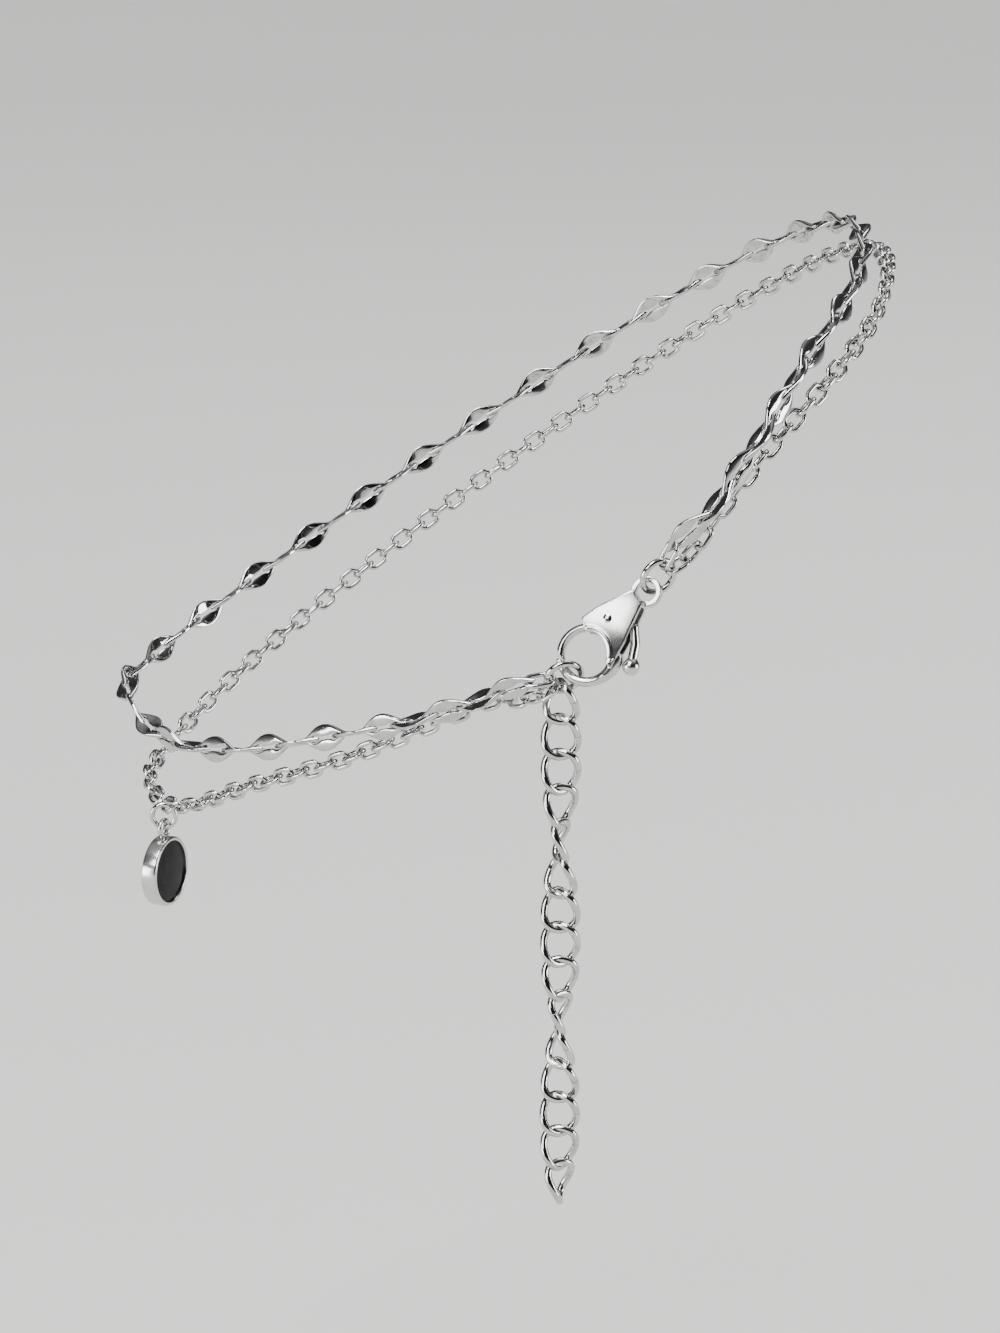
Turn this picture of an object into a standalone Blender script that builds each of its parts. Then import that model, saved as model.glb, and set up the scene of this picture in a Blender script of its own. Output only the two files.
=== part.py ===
"""Charm anklet: two chain strands on one lobster clasp, with an extender chain and a round charm.

It keeps the form it has when worn. The origin is the middle of the loop, +X points to the front,
+Z is up, and the side with the clasp faces -Y. Lengths are in metres.
"""
import math

import bmesh
import bpy
from mathutils import Matrix, Vector

MM = 0.001

# The oval that the loop lies on, which is tilted and widens downwards
LOOP_TILT = math.radians(33.4)
LOOP_HALF_LENGTH = 42.6 * MM
LOOP_HALF_WIDTH = 29.0 * MM
LOOP_EGG = 0.22
FLARE_FRONT = 0.23
FLARE_BACK = 0.38
FLARE_SIDE = 0.10

# How the strands lie on it
FAR_LEVEL = 4.0 * MM
DROOP = 16.6 * MM
STRAND_SPLIT = 8.8 * MM
STRAND_STACK = 2.55 * MM
RING_BLEND = 0.030

# The strands' route from the clasp ring round the far side to the end ring:
# way round, drop as a share of DROOP, how far the cable strand lies below the lip strand as a share
# of STRAND_SPLIT, how far the lip strand stands over the cable strand as a share of STRAND_STACK
ROUTE = (
    (0.000, 0.860, 0.06, 0.95),
    (0.030, 0.690, 0.14, 1.00),
    (0.059, 0.530, 0.21, 0.90),
    (0.095, 0.375, 0.33, 0.40),
    (0.145, 0.260, 0.35, 0.00),
    (0.195, 0.140, 0.36, 0.00),
    (0.262, 0.040, 0.38, 0.00),
    (0.366, 0.000, 0.46, 0.00),
    (0.484, 0.000, 0.58, 0.00),
    (0.602, 0.000, 0.74, 0.00),
    (0.696, 0.000, 0.93, 0.00),
    (0.752, 0.020, 1.00, 0.00),
    (0.790, 0.190, 0.91, 0.00),
    (0.826, 0.375, 0.67, 0.00),
    (0.867, 0.550, 0.40, 0.00),
    (0.917, 0.720, 0.28, 0.30),
    (0.958, 0.865, 0.13, 0.95),
    (1.000, 0.990, 0.06, 0.95),
)
ROUTE_STEPS = 800

# Lip strand: long stamped links, each turned a quarter from its neighbours
LIP_LENGTH = 5.6 * MM
LIP_WIDTH = 2.5 * MM
LIP_TIP = 1.08 * MM
LIP_THICKNESS = 0.5 * MM
LIP_PLATE_THICKNESS = 0.34 * MM
LIP_SLOT = 0.3 * MM
LIP_HOLE = 0.62 * MM

# A lip link's stations from tip to middle: place along the link as a share of its half-length,
# outer edge as a share of its half-width, inner edge as a share of the hole's half-width,
# thickness as a share of the way from the plate's to the wire's
LIP_STATIONS = (
    (0.66, 0.44, 0.80, 1.0),
    (0.30, 0.84, 1.00, 0.6),
)

# The lip strand ends in one oval link at each ring
END_LINK_LENGTH = 3.0 * MM
ROLL_LINKS = 8.0
FUSE_DEPTH = 0.09 * MM

# A link's direction is read over this share of its inner half-length each way
LINK_REACH = 0.6

# Cable strand: small oval links
CABLE_LENGTH = 2.6 * MM
CABLE_WIDTH = 1.85 * MM
CABLE_WIRE = 0.45 * MM
CABLE_TUBE_SPACING = 3.8 * MM
CABLE_END_GAP = 0.3 * MM

# Jump rings
RING_OUTER = 3.75 * MM
RING_WIRE = 0.6 * MM
RING_TILT = math.radians(35.0)
CHARM_RING_OUTER = 2.75 * MM
CHARM_RING_WIRE = 0.5 * MM
RING_CLEARANCE = 0.12 * MM
EYE_PLAY = 0.15 * MM
HOOK_PLAY = 0.22 * MM

# Clasp, measured from the claw's far end along its axis, with the gate on the +Y side
CLASP_ANGLE = math.radians(277.9)
CLASP_DROP = 0.930
CLASP_OUT = 0.9 * MM
CLASP_PITCH = math.radians(6.5)
CLASP_TILT = math.radians(-25.0)
CLASP_LENGTH = 11.9 * MM
CLASP_THICKNESS = 2.4 * MM
HOOK_INNER_RADIUS = 2.0 * MM
HOOK_WIRE = 0.9 * MM
HOOK_OFFSET = -1.0 * MM
HOOK_ROOT_WIRE = 1.5 * MM
HOOK_TAPER = 0.5
HOOK_ROOT_ANGLE = math.radians(-42.0)
HOOK_TIP_ANGLE = math.radians(148.0)
EYE_RADIUS = 1.4 * MM
EYE_HOLE_RADIUS = 0.88 * MM
EYE_THICKNESS = 0.8 * MM
EYE_STEP = 0.15 * MM
NECK_WIDTH = 1.6 * MM

# The clasp's cheeks: a round front edge along the hook, a top and a bottom corner, and a sloping back
CHEEK_LOW_ANGLE = math.radians(-62.0)
CHEEK_HIGH_ANGLE = math.radians(52.0)
CHEEK_TOP = 1.75 * MM
CHEEK_TOP_LENGTH = 0.45 * MM
CHEEK_BACK_TOP = 1.6 * MM
CHEEK_BACK_BOTTOM = 2.55 * MM
CHEEK_FOOT = 0.72 * MM

# The slot between the cheeks, which the lever swings in
SLOT_FRONT_HEIGHT = 0.5 * MM
SLOT_FLOOR_DEPTH = 0.2 * MM
SLOT_TO_PIVOT = 1.2 * MM
SLOT_BACK_WALL = 0.3 * MM

# The lever: the gate over the hook, the thumb arm and its knob. The gate's end and the claw's tip
# are cut round the pivot, so that the gate swings inwards past the tip
LEVER_THICKNESS = 1.0 * MM
LEVER_CLEARANCE = 0.12 * MM
PIVOT_X = 6.4 * MM
PIVOT_Y = 0.1 * MM
PIN_RADIUS = 0.4 * MM
BOSS_RADIUS = 0.95 * MM
GATE_WIDTH = 0.8 * MM
GATE_ROOT_WIDTH = 1.12 * MM
GATE_START_ANGLE = math.radians(40.0)
GATE_END_ANGLE = math.radians(162.0)
GATE_REACH = 5.45 * MM
GATE_GAP = 0.12 * MM
SWING_START = math.radians(155.0)
SWING_END = math.radians(200.0)
KNOB_RADIUS = 0.8 * MM
KNOB_X = 5.3 * MM
KNOB_Y = -4.4 * MM
THUMB_WIDTH = 0.9 * MM
THUMB_REACH = 1.3 * MM
THUMB_DROP = 1.9 * MM
THUMB_BULGE = 0.3 * MM

# How the rings hang in the clasp
CLASP_RING_TURN = math.radians(14.0)
END_RING_SEAT = math.radians(205.0)
END_RING_TURN = math.radians(-15.0)

# Where the strands and the extender hold the rings, from the ring's line along the loop
CLASP_LIP_SEAT = math.radians(16.0)
CLASP_CABLE_SEAT = math.radians(-30.0)
END_LIP_SEAT = math.radians(-24.0)
END_CABLE_SEAT = math.radians(22.0)

# Extender: hanging curb links
EXTENDER_LENGTH = 49.5 * MM
CURB_LENGTH = 4.45 * MM
CURB_WIDTH = 3.75 * MM
CURB_WIRE = 0.7 * MM
CURB_TWIST = 0.52 * MM
CURB_PITCH = 3.25 * MM
CURB_TURN = math.radians(34.0)
CURB_TURN_START = math.radians(-46.0)
CURB_DWELL = 0.2
CURB_PLAY = 0.2 * MM

# Charm
CHARM_WAY = 0.773
CHARM_DIAMETER = 6.8 * MM
CHARM_THICKNESS = 1.6 * MM
CHARM_RIM = 0.25 * MM
CHARM_RIM_WIDTH = 0.4 * MM
CHARM_LOOP_OUTER = 2.1 * MM
CHARM_LOOP_WIRE = 0.55 * MM
CHARM_LOOP_SINK = 0.25 * MM
CHARM_TURN = math.radians(-20.0)
CHARM_RING_LEAN = math.radians(25.0)

# How finely round shapes are divided, and how often the angle round the oval is corrected
ANGLE_STEPS = 8
LINK_SECTIONS = 12
WIRE_SIDES = 6
LIP_SIDES = 5
CURB_SECTIONS = 10
CURB_SIDES = 5
PLATE_SIDES = 32
EYE_SIDES = 16
HOLE_SIDES = 12
BAR_SIDES = 8
ARC_STEPS = 8
CLAW_STEPS = 12
GATE_STEPS = 9
KNOB_COLUMNS = 12
KNOB_ROWS = 6
SMOOTH_ANGLE = math.radians(40.0)
SMALL = 1e-3

STEEL = {"color": (0.50, 0.50, 0.49, 1.0), "roughness": 0.15}
STEEL_BRIGHT = {"color": (0.56, 0.56, 0.55, 1.0), "roughness": 0.18}


def clear_scene():
    for obj in list(bpy.data.objects):
        bpy.data.objects.remove(obj, do_unlink=True)


def make_material(name, look):
    material = bpy.data.materials.new(name)
    material.use_nodes = True
    shader = material.node_tree.nodes["Principled BSDF"]
    shader.inputs["Base Color"].default_value = look["color"]
    shader.inputs["Roughness"].default_value = look["roughness"]
    shader.inputs["Metallic"].default_value = 1.0
    return material


def add_object(name, data, material):
    data.materials.append(material)
    obj = bpy.data.objects.new(name, data)
    bpy.context.scene.collection.objects.link(obj)
    return obj


def mesh_from(name, parts):
    """One mesh from several (points, faces) parts, with its faces pointing out."""
    points = []
    faces = []
    for part_points, part_faces in parts:
        start = len(points)
        points.extend(part_points)
        faces.extend([tuple(start + index for index in face) for face in part_faces])
    mesh = bpy.data.meshes.new(name)
    mesh.from_pydata([tuple(point) for point in points], [], faces)
    work = bmesh.new()
    work.from_mesh(mesh)
    bmesh.ops.recalc_face_normals(work, faces=work.faces)
    work.to_mesh(mesh)
    work.free()
    mesh.shade_smooth()
    mesh.set_sharp_from_angle(angle=SMOOTH_ANGLE)
    return mesh


def add_tool(name, mesh):
    """A cutter or a second half for a Boolean, which isn't a piece of its own."""
    tool = bpy.data.objects.new(name, mesh)
    bpy.context.scene.collection.objects.link(tool)
    tool.hide_render = True
    tool.display_type = "WIRE"
    return tool


def add_boolean(obj, tool, operation):
    step = obj.modifiers.new(tool.name, "BOOLEAN")
    step.operation = operation
    step.solver = "EXACT"
    step.object = tool


# The oval's surface and the route on it


OVAL_ALONG = Vector((math.cos(LOOP_TILT), 0.0, math.sin(LOOP_TILT)))
OVAL_ACROSS = Vector((0.0, 1.0, 0.0))
OVAL_UP = Vector((-math.sin(LOOP_TILT), 0.0, math.cos(LOOP_TILT)))

# The charm ring hangs off the strand down and a little away from the oval
CHARM_RING_LEAN_TO = Vector((-math.sin(CHARM_RING_LEAN), 0.0, -math.cos(CHARM_RING_LEAN)))


def oval_radii(angle, height):
    """Half-length and half-width of the oval at a height, seen at an angle round it."""
    front = (1.0 + math.cos(angle)) / 2.0
    flare = FLARE_BACK + (FLARE_FRONT - FLARE_BACK) * front
    along = LOOP_HALF_LENGTH - flare * height
    across = (LOOP_HALF_WIDTH - FLARE_SIDE * height) * (1.0 + LOOP_EGG * math.cos(angle))
    return along, across


def oval_normal(angle, height):
    along, across = oval_radii(angle, height)
    return (OVAL_ALONG * (across * math.cos(angle)) + OVAL_ACROSS * (along * math.sin(angle))).normalized()


def oval_point(angle, height, out):
    along, across = oval_radii(angle, height)
    point = OVAL_ALONG * (along * math.cos(angle)) + OVAL_ACROSS * (across * math.sin(angle))
    return point + OVAL_UP * height + oval_normal(angle, height) * out


def oval_angle(point):
    """Angle round the oval of a point near its surface."""
    height = point.dot(OVAL_UP)
    angle = math.atan2(point.dot(OVAL_ACROSS) / LOOP_HALF_WIDTH, point.dot(OVAL_ALONG) / LOOP_HALF_LENGTH)
    for _ in range(ANGLE_STEPS):
        along, across = oval_radii(angle, height)
        angle = math.atan2(point.dot(OVAL_ACROSS) / across, point.dot(OVAL_ALONG) / along)
    return angle % math.tau


def table_value(way, column):
    """A column of ROUTE at a share of the way, on a smooth curve through its rows."""
    last = len(ROUTE) - 1
    row = 0
    while row < last - 1 and way > ROUTE[row + 1][0]:
        row += 1
    before = ROUTE[max(row - 1, 0)]
    start = ROUTE[row]
    end = ROUTE[row + 1]
    after = ROUTE[min(row + 2, last)]
    span = end[0] - start[0]
    share = (way - start[0]) / span
    start_slope = (end[column] - before[column]) / (end[0] - before[0]) * span
    end_slope = (after[column] - start[column]) / (after[0] - start[0]) * span
    square = share * share
    cube = square * share
    return (
        (2.0 * cube - 3.0 * square + 1.0) * start[column]
        + (cube - 2.0 * square + share) * start_slope
        + (3.0 * square - 2.0 * cube) * end[column]
        + (cube - square) * end_slope
    )


def route_path(strand, clasp_ring, clasp_seat, end_ring, end_seat):
    """Points of the lip or the cable strand from its seat on one ring to its seat on the other.

    It leaves each ring along the spoke of its seat and then joins its route on the oval.
    """
    start = seat_on(clasp_ring, clasp_seat)
    end = seat_on(end_ring, end_seat)
    start_spoke = (start - clasp_ring.translation).normalized()
    end_spoke = (end - end_ring.translation).normalized()
    start_angle = oval_angle(clasp_ring.translation)
    end_angle = oval_angle(end_ring.translation) + math.tau

    def on_oval(way):
        angle = start_angle + (end_angle - start_angle) * way
        height = FAR_LEVEL - DROOP * table_value(way, 1)
        if strand == "cable":
            return oval_point(angle, height - STRAND_SPLIT * table_value(way, 2), 0.0)
        return oval_point(angle, height, STRAND_STACK * table_value(way, 3))

    def fade(way):
        share = min(way / RING_BLEND, 1.0)
        return (1.0 - share) ** 2 * (1.0 + 2.0 * share)

    def lead(way):
        return way * (1.0 - min(way / RING_BLEND, 1.0)) ** 2

    start_shift = start - on_oval(0.0)
    end_shift = end - on_oval(1.0)
    start_pace = (on_oval(SMALL) - on_oval(0.0)) / SMALL
    end_pace = (on_oval(1.0) - on_oval(1.0 - SMALL)) / SMALL
    start_turn = start_spoke * start_pace.length - start_pace
    end_turn = -end_spoke * end_pace.length - end_pace
    points = []
    for step in range(ROUTE_STEPS + 1):
        way = step / ROUTE_STEPS
        point = on_oval(way) + start_shift * fade(way) + end_shift * fade(1.0 - way)
        points.append(point + start_turn * lead(way) - end_turn * lead(1.0 - way))
    return points


class Path:
    """A polyline that gives points, directions and outward normals by length along it."""

    def __init__(self, points):
        self.points = points
        self.lengths = [0.0]
        for first, second in zip(points, points[1:]):
            self.lengths.append(self.lengths[-1] + (second - first).length)
        self.total = self.lengths[-1]

    def point(self, length):
        last = len(self.lengths) - 2
        low, high = 0, last
        while low < high:
            middle = (low + high + 1) // 2
            if self.lengths[middle] <= length:
                low = middle
            else:
                high = middle - 1
        step = self.lengths[low + 1] - self.lengths[low]
        return self.points[low].lerp(self.points[low + 1], (length - self.lengths[low]) / step)

    def frame(self, length, reach):
        """Place with X along the path, Z out from the oval, for a link that reaches both ways."""
        direction = (self.point(length + reach) - self.point(length - reach)).normalized()
        centre = self.point(length)
        out = oval_normal(oval_angle(centre), centre.dot(OVAL_UP))
        out = (out - direction * out.dot(direction)).normalized()
        return frame_matrix(centre, direction, out)


def frame_matrix(centre, along, out):
    """A place with X along one direction and Z out along another."""
    side = out.cross(along)
    matrix = Matrix((along, side, out)).transposed().to_4x4()
    matrix.translation = centre
    return matrix


# Links and rings


def swept_loop(rings):
    """A closed tube through closed rings of points, all with as many points."""
    count = len(rings)
    sides = len(rings[0])
    points = [point for ring in rings for point in ring]
    faces = []
    for ring in range(count):
        after = (ring + 1) % count
        for side in range(sides):
            beside = (side + 1) % sides
            faces.append((ring * sides + side, after * sides + side,
                          after * sides + beside, ring * sides + beside))
    return points, faces


def wire_ring(centre, across, up, radius_across, radius_up, sides):
    """The points round a wire's oval section."""
    ring = []
    for side in range(sides):
        angle = math.tau * (side + 0.5) / sides
        aside = across * (radius_across * math.cos(angle))
        ring.append(centre + aside + up * (radius_up * math.sin(angle)))
    return ring


def loop_of_wire(route, wire, sections, sides):
    """A closed wire along a closed curve that is given by a function of angle."""
    rings = []
    for section in range(sections):
        angle = math.tau * section / sections
        centre = route(angle)
        direction = (route(angle + SMALL) - route(angle - SMALL)).normalized()
        out = (centre - direction * centre.dot(direction)).normalized()
        rings.append(wire_ring(centre, out, direction.cross(out), wire / 2.0, wire / 2.0, sides))
    return swept_loop(rings)


def jump_ring(outer, wire):
    radius = (outer - wire) / 2.0
    return loop_of_wire(lambda angle: Vector((math.cos(angle), math.sin(angle), 0.0)) * radius,
                        wire, LINK_SECTIONS, WIRE_SIDES)


def oval_link(length, width, wire):
    """A flat link with straight sides and round ends, longer along X."""
    bend = (width - wire) / 2.0
    straight = (length - width) / 2.0

    def route(angle):
        side = math.copysign(1.0, math.cos(angle))
        if abs(math.cos(angle)) < SMALL / 2.0:
            side = 0.0
        return Vector((bend * math.cos(angle) + side * straight, bend * math.sin(angle), 0.0))

    return loop_of_wire(route, wire, LINK_SECTIONS, WIRE_SIDES)


def curb_link(length, width, wire, twist):
    """A link longer along Y whose two sides are bent out of its plane, as in a curb chain."""
    half_width = (width - wire) / 2.0
    half_length = (length - wire) / 2.0

    def route(angle):
        across = half_width * math.cos(angle)
        along = half_length * math.sin(angle)
        return Vector((across, along, twist * math.sin(2.0 * angle)))

    return loop_of_wire(route, wire, CURB_SECTIONS, CURB_SIDES)


def lip_link(length):
    """A stamped link: pointed ends of wire and a flat plate on each side, with a slot between."""
    half = length / 2.0
    quarter = []
    for along, outer, inner, share in LIP_STATIONS:
        thickness = LIP_PLATE_THICKNESS + (LIP_THICKNESS - LIP_PLATE_THICKNESS) * share
        quarter.append((half * along, LIP_WIDTH / 2.0 * outer, LIP_HOLE / 2.0 * inner, thickness))
    middle = (0.0, LIP_WIDTH / 2.0, LIP_SLOT / 2.0, LIP_PLATE_THICKNESS)

    def section(inner, outer, thickness):
        flat = math.cos(math.pi / LIP_SIDES)
        radius = (outer - inner).length / (1.0 + flat)
        ring = []
        for side in range(LIP_SIDES):
            angle = math.tau * side / LIP_SIDES
            ring.append(outer + (outer - inner).normalized() * (radius * (math.cos(angle) - 1.0))
                        + Vector((0.0, 0.0, thickness / 2.0 * math.sin(angle))))
        return ring

    rings = []
    for side_x, side_y, rows in ((1, 1, quarter), (-1, 1, [middle] + quarter[::-1]),
                                 (-1, -1, quarter), (1, -1, [middle] + quarter[::-1])):
        if rows is quarter:
            tip_inner = Vector((side_x * (half - LIP_TIP), 0.0, 0.0))
            tip_outer = Vector((side_x * half, 0.0, 0.0))
            rings.append(section(tip_inner, tip_outer, LIP_THICKNESS))
        for along, outer, inner, thickness in rows:
            rings.append(section(Vector((side_x * along, side_y * inner, 0.0)),
                                 Vector((side_x * along, side_y * outer, 0.0)), thickness))
    return swept_loop(order_round(rings))


def order_round(rings):
    """Sections in the order of the angle of their outer points round the link."""
    def turn(ring):
        centre = sum(ring, Vector()) / len(ring)
        return math.atan2(centre.y, centre.x) % math.tau
    return sorted(rings, key=turn)


def placed(part, matrix):
    points, faces = part
    return [matrix @ point for point in points], faces


def add_chain(name, links, material):
    """One body from links that bite a little into each other: odd links joined to even ones."""
    chain = add_object(name, mesh_from(name, links[0::2]), material)
    others = add_tool(name + "_others", mesh_from(name + "_others", links[1::2]))
    add_boolean(chain, others, "UNION")
    return chain


# Clasp


def clasp_place():
    """Place of the clasp: origin at the claw's far end, X to the eye, Z out from the oval."""
    height = FAR_LEVEL - DROOP * CLASP_DROP
    centre = oval_point(CLASP_ANGLE, height, CLASP_OUT)
    out = oval_normal(CLASP_ANGLE, height)
    round_oval = OVAL_UP.cross(out)
    along = round_oval * math.cos(CLASP_PITCH) + OVAL_UP * math.sin(CLASP_PITCH)
    level = frame_matrix(centre, along, out)
    tilted = level @ Matrix.Rotation(CLASP_TILT, 4, "X")
    return level, tilted @ Matrix.Translation((-CLASP_LENGTH / 2.0, 0.0, 0.0))


HOOK_X = HOOK_WIRE + HOOK_INNER_RADIUS
HOOK_RADIUS = HOOK_INNER_RADIUS + HOOK_WIRE / 2.0
EYE_X = CLASP_LENGTH - EYE_RADIUS
BODY_BACK = EYE_X - EYE_HOLE_RADIUS


def hook_point(angle, radius):
    return Vector((HOOK_X + radius * math.cos(angle), HOOK_OFFSET + radius * math.sin(angle), 0.0))


def extruded(outline, thickness):
    """A flat plate of an outline in XY, centred on Z."""
    count = len(outline)
    low = [Vector((x, y, -thickness / 2.0)) for x, y in outline]
    high = [Vector((x, y, thickness / 2.0)) for x, y in outline]
    faces = [tuple(range(count)), tuple(range(2 * count - 1, count - 1, -1))]
    for index in range(count):
        after = (index + 1) % count
        faces.append((index, after, count + after, count + index))
    return low + high, faces


def bar(route, sides):
    """A solid bar along a list of (centre, half-width, half-depth), flat in XY, with capped ends."""
    steps = len(route)
    rings = []
    for index in range(steps):
        centre, half_width, half_depth = route[index]
        before = route[max(index - 1, 0)][0]
        after = route[min(index + 1, steps - 1)][0]
        direction = (after - before).normalized()
        across = Vector((-direction.y, direction.x, 0.0))
        rings.append(wire_ring(centre, across, Vector((0.0, 0.0, 1.0)), half_width, half_depth, sides))
    points = [point for ring in rings for point in ring]
    faces = [tuple(range(sides)), tuple(range((steps - 1) * sides, steps * sides))]
    for ring in range(steps - 1):
        for side in range(sides):
            beside = (side + 1) % sides
            faces.append((ring * sides + side, (ring + 1) * sides + side,
                          (ring + 1) * sides + beside, ring * sides + beside))
    return points, faces


def disc(centre_x, centre_y, radius, thickness, sides):
    outline = []
    for side in range(sides):
        angle = math.tau * (side + 0.5) / sides
        outline.append((centre_x + radius * math.cos(angle), centre_y + radius * math.sin(angle)))
    return extruded(outline, thickness)


def ball(centre, radius, columns, rows):
    points = [centre + Vector((0.0, 0.0, radius)), centre - Vector((0.0, 0.0, radius))]
    faces = []
    for row in range(1, rows):
        lift = math.pi * row / rows
        for column in range(columns):
            angle = math.tau * column / columns
            points.append(centre + Vector((math.sin(lift) * math.cos(angle),
                                           math.sin(lift) * math.sin(angle), math.cos(lift))) * radius)
    for column in range(columns):
        beside = (column + 1) % columns
        faces.append((0, 2 + column, 2 + beside))
        last = 2 + (rows - 2) * columns
        faces.append((1, last + beside, last + column))
        for row in range(rows - 2):
            start = 2 + row * columns
            after = start + columns
            faces.append((start + column, after + column, after + beside, start + beside))
    return points, faces


def add_solid(name, base, steps, matrix, material):
    """A piece made of a base and a list of steps, each a part and the Boolean that it is used in."""
    obj = add_object(name, mesh_from(name, [base]), material)
    for index, (part, operation) in enumerate(steps):
        tool = add_tool(name + "_tool_" + str(index), mesh_from(name + "_tool", [part]))
        tool.matrix_world = matrix
        add_boolean(obj, tool, operation)
    obj.matrix_world = matrix
    return obj


def body_outline():
    """The cheeks' outline: a triangle from the hook's round front edge to the neck."""
    front = []
    for step in range(ARC_STEPS + 1):
        angle = CHEEK_LOW_ANGLE + (CHEEK_HIGH_ANGLE - CHEEK_LOW_ANGLE) * step / ARC_STEPS
        point = hook_point(angle, HOOK_INNER_RADIUS)
        front.append((point.x, point.y))
    back = HOOK_X + HOOK_RADIUS + HOOK_WIRE
    return front + [
        (front[-1][0] + CHEEK_TOP_LENGTH, CHEEK_TOP),
        (back, CHEEK_BACK_TOP),
        (BODY_BACK, NECK_WIDTH / 2.0),
        (EYE_X, NECK_WIDTH / 2.0),
        (EYE_X, -NECK_WIDTH / 2.0),
        (BODY_BACK, -NECK_WIDTH / 2.0),
        (back, -CHEEK_BACK_BOTTOM),
        (front[0][0], front[0][1] - CHEEK_FOOT),
    ]


def slot_outline():
    """The slot's outline, open above and below, with the claw's root left solid in front."""
    below = HOOK_OFFSET - HOOK_INNER_RADIUS - 2.0 * HOOK_WIRE
    above = CHEEK_TOP + HOOK_WIRE
    back = BODY_BACK - SLOT_BACK_WALL
    return [
        (HOOK_X, HOOK_OFFSET + SLOT_FRONT_HEIGHT),
        (HOOK_X + HOOK_RADIUS, HOOK_OFFSET - SLOT_FLOOR_DEPTH),
        (PIVOT_X - SLOT_TO_PIVOT, below),
        (back, below),
        (back, above),
        (HOOK_X, above),
    ]


def swing_outline(low_radius, high_radius):
    """A band round the pivot across the hook's far end, between two radii."""
    outline = []
    for radius, steps in ((high_radius, range(ARC_STEPS + 1)), (low_radius, range(ARC_STEPS, -1, -1))):
        for step in steps:
            angle = SWING_START + (SWING_END - SWING_START) * step / ARC_STEPS
            outline.append((PIVOT_X + radius * math.cos(angle), PIVOT_Y + radius * math.sin(angle)))
    return outline


def claw_route():
    """The fixed claw from inside the cheeks' lower corner round to its tip."""
    tip = HOOK_TIP_ANGLE - math.tau
    route = []
    for step in range(CLAW_STEPS):
        share = step / (CLAW_STEPS - 1)
        wire = HOOK_ROOT_WIRE + (HOOK_WIRE - HOOK_ROOT_WIRE) * min(share / HOOK_TAPER, 1.0)
        angle = HOOK_ROOT_ANGLE + (tip - HOOK_ROOT_ANGLE) * share
        route.append((hook_point(angle, HOOK_RADIUS), HOOK_WIRE / 2.0, wire / 2.0))
    return route


def gate_route():
    """The gate from the pivot over the top of the hook to the claw's tip."""
    half = GATE_WIDTH / 2.0
    depth = LEVER_THICKNESS / 2.0
    route = [(Vector((PIVOT_X, PIVOT_Y, 0.0)), GATE_ROOT_WIDTH / 2.0, depth)]
    for step in range(GATE_STEPS):
        angle = GATE_START_ANGLE + (GATE_END_ANGLE - GATE_START_ANGLE) * step / (GATE_STEPS - 1)
        route.append((hook_point(angle, HOOK_RADIUS), half, depth))
    return route


def thumb_route():
    """The thumb arm from the pivot out under the cheeks and back to the knob."""
    pivot = Vector((PIVOT_X, PIVOT_Y, 0.0))
    elbow = pivot + Vector((THUMB_REACH, -THUMB_DROP, 0.0))
    knob = Vector((KNOB_X, KNOB_Y, 0.0))
    bulge = Vector((THUMB_BULGE, 0.0, 0.0))
    centres = [pivot, pivot.lerp(elbow, 0.5) + bulge, elbow, elbow.lerp(knob, 0.5) + bulge, knob]
    return [(centre, THUMB_WIDTH / 2.0, LEVER_THICKNESS / 2.0) for centre in centres]


def eye_relief():
    """What is cut from both faces of the neck so that the eye is thinner than the cheeks."""
    start = BODY_BACK + EYE_STEP
    end = CLASP_LENGTH + EYE_RADIUS
    side = EYE_RADIUS * 2.0
    points, faces = extruded([(start, -side), (end, -side), (end, side), (start, side)], CLASP_THICKNESS)
    shift = Vector((0.0, 0.0, (CLASP_THICKNESS + EYE_THICKNESS) / 2.0))
    high = [point + shift for point in points]
    low = [point - shift for point in points]
    count = len(points)
    return high + low, list(faces) + [tuple(count + index for index in face) for face in faces]


def add_clasp_body(place, material):
    tip_radius = GATE_REACH + GATE_GAP
    steps = [
        (eye_relief(), "DIFFERENCE"),
        (extruded(slot_outline(), LEVER_THICKNESS + 2.0 * LEVER_CLEARANCE), "DIFFERENCE"),
        (bar(claw_route(), BAR_SIDES), "UNION"),
        (extruded(swing_outline(tip_radius - HOOK_WIRE, tip_radius), CLASP_THICKNESS), "DIFFERENCE"),
        (disc(EYE_X, 0.0, EYE_RADIUS, EYE_THICKNESS, EYE_SIDES), "UNION"),
        (disc(EYE_X, 0.0, EYE_HOLE_RADIUS, CLASP_THICKNESS, HOLE_SIDES), "DIFFERENCE"),
        (disc(PIVOT_X, PIVOT_Y, PIN_RADIUS, CLASP_THICKNESS, HOLE_SIDES), "UNION"),
    ]
    add_solid("clasp_body", extruded(body_outline(), CLASP_THICKNESS), steps, place, material)


def add_clasp_lever(place, material):
    wide = 2.0 * LEVER_THICKNESS
    steps = [
        (bar(gate_route(), BAR_SIDES), "UNION"),
        (bar(thumb_route(), BAR_SIDES), "UNION"),
        (ball(Vector((KNOB_X, KNOB_Y, 0.0)), KNOB_RADIUS, KNOB_COLUMNS, KNOB_ROWS), "UNION"),
        (extruded(swing_outline(GATE_REACH, GATE_REACH + 2.0 * HOOK_WIRE), wide), "DIFFERENCE"),
        (disc(PIVOT_X, PIVOT_Y, PIN_RADIUS + LEVER_CLEARANCE, wide, HOLE_SIDES), "DIFFERENCE"),
    ]
    boss = disc(PIVOT_X, PIVOT_Y, BOSS_RADIUS, LEVER_THICKNESS, EYE_SIDES)
    add_solid("clasp_lever", boss, steps, place, material)


# Rings on the clasp


RING_RADIUS = (RING_OUTER - RING_WIRE) / 2.0


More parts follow.
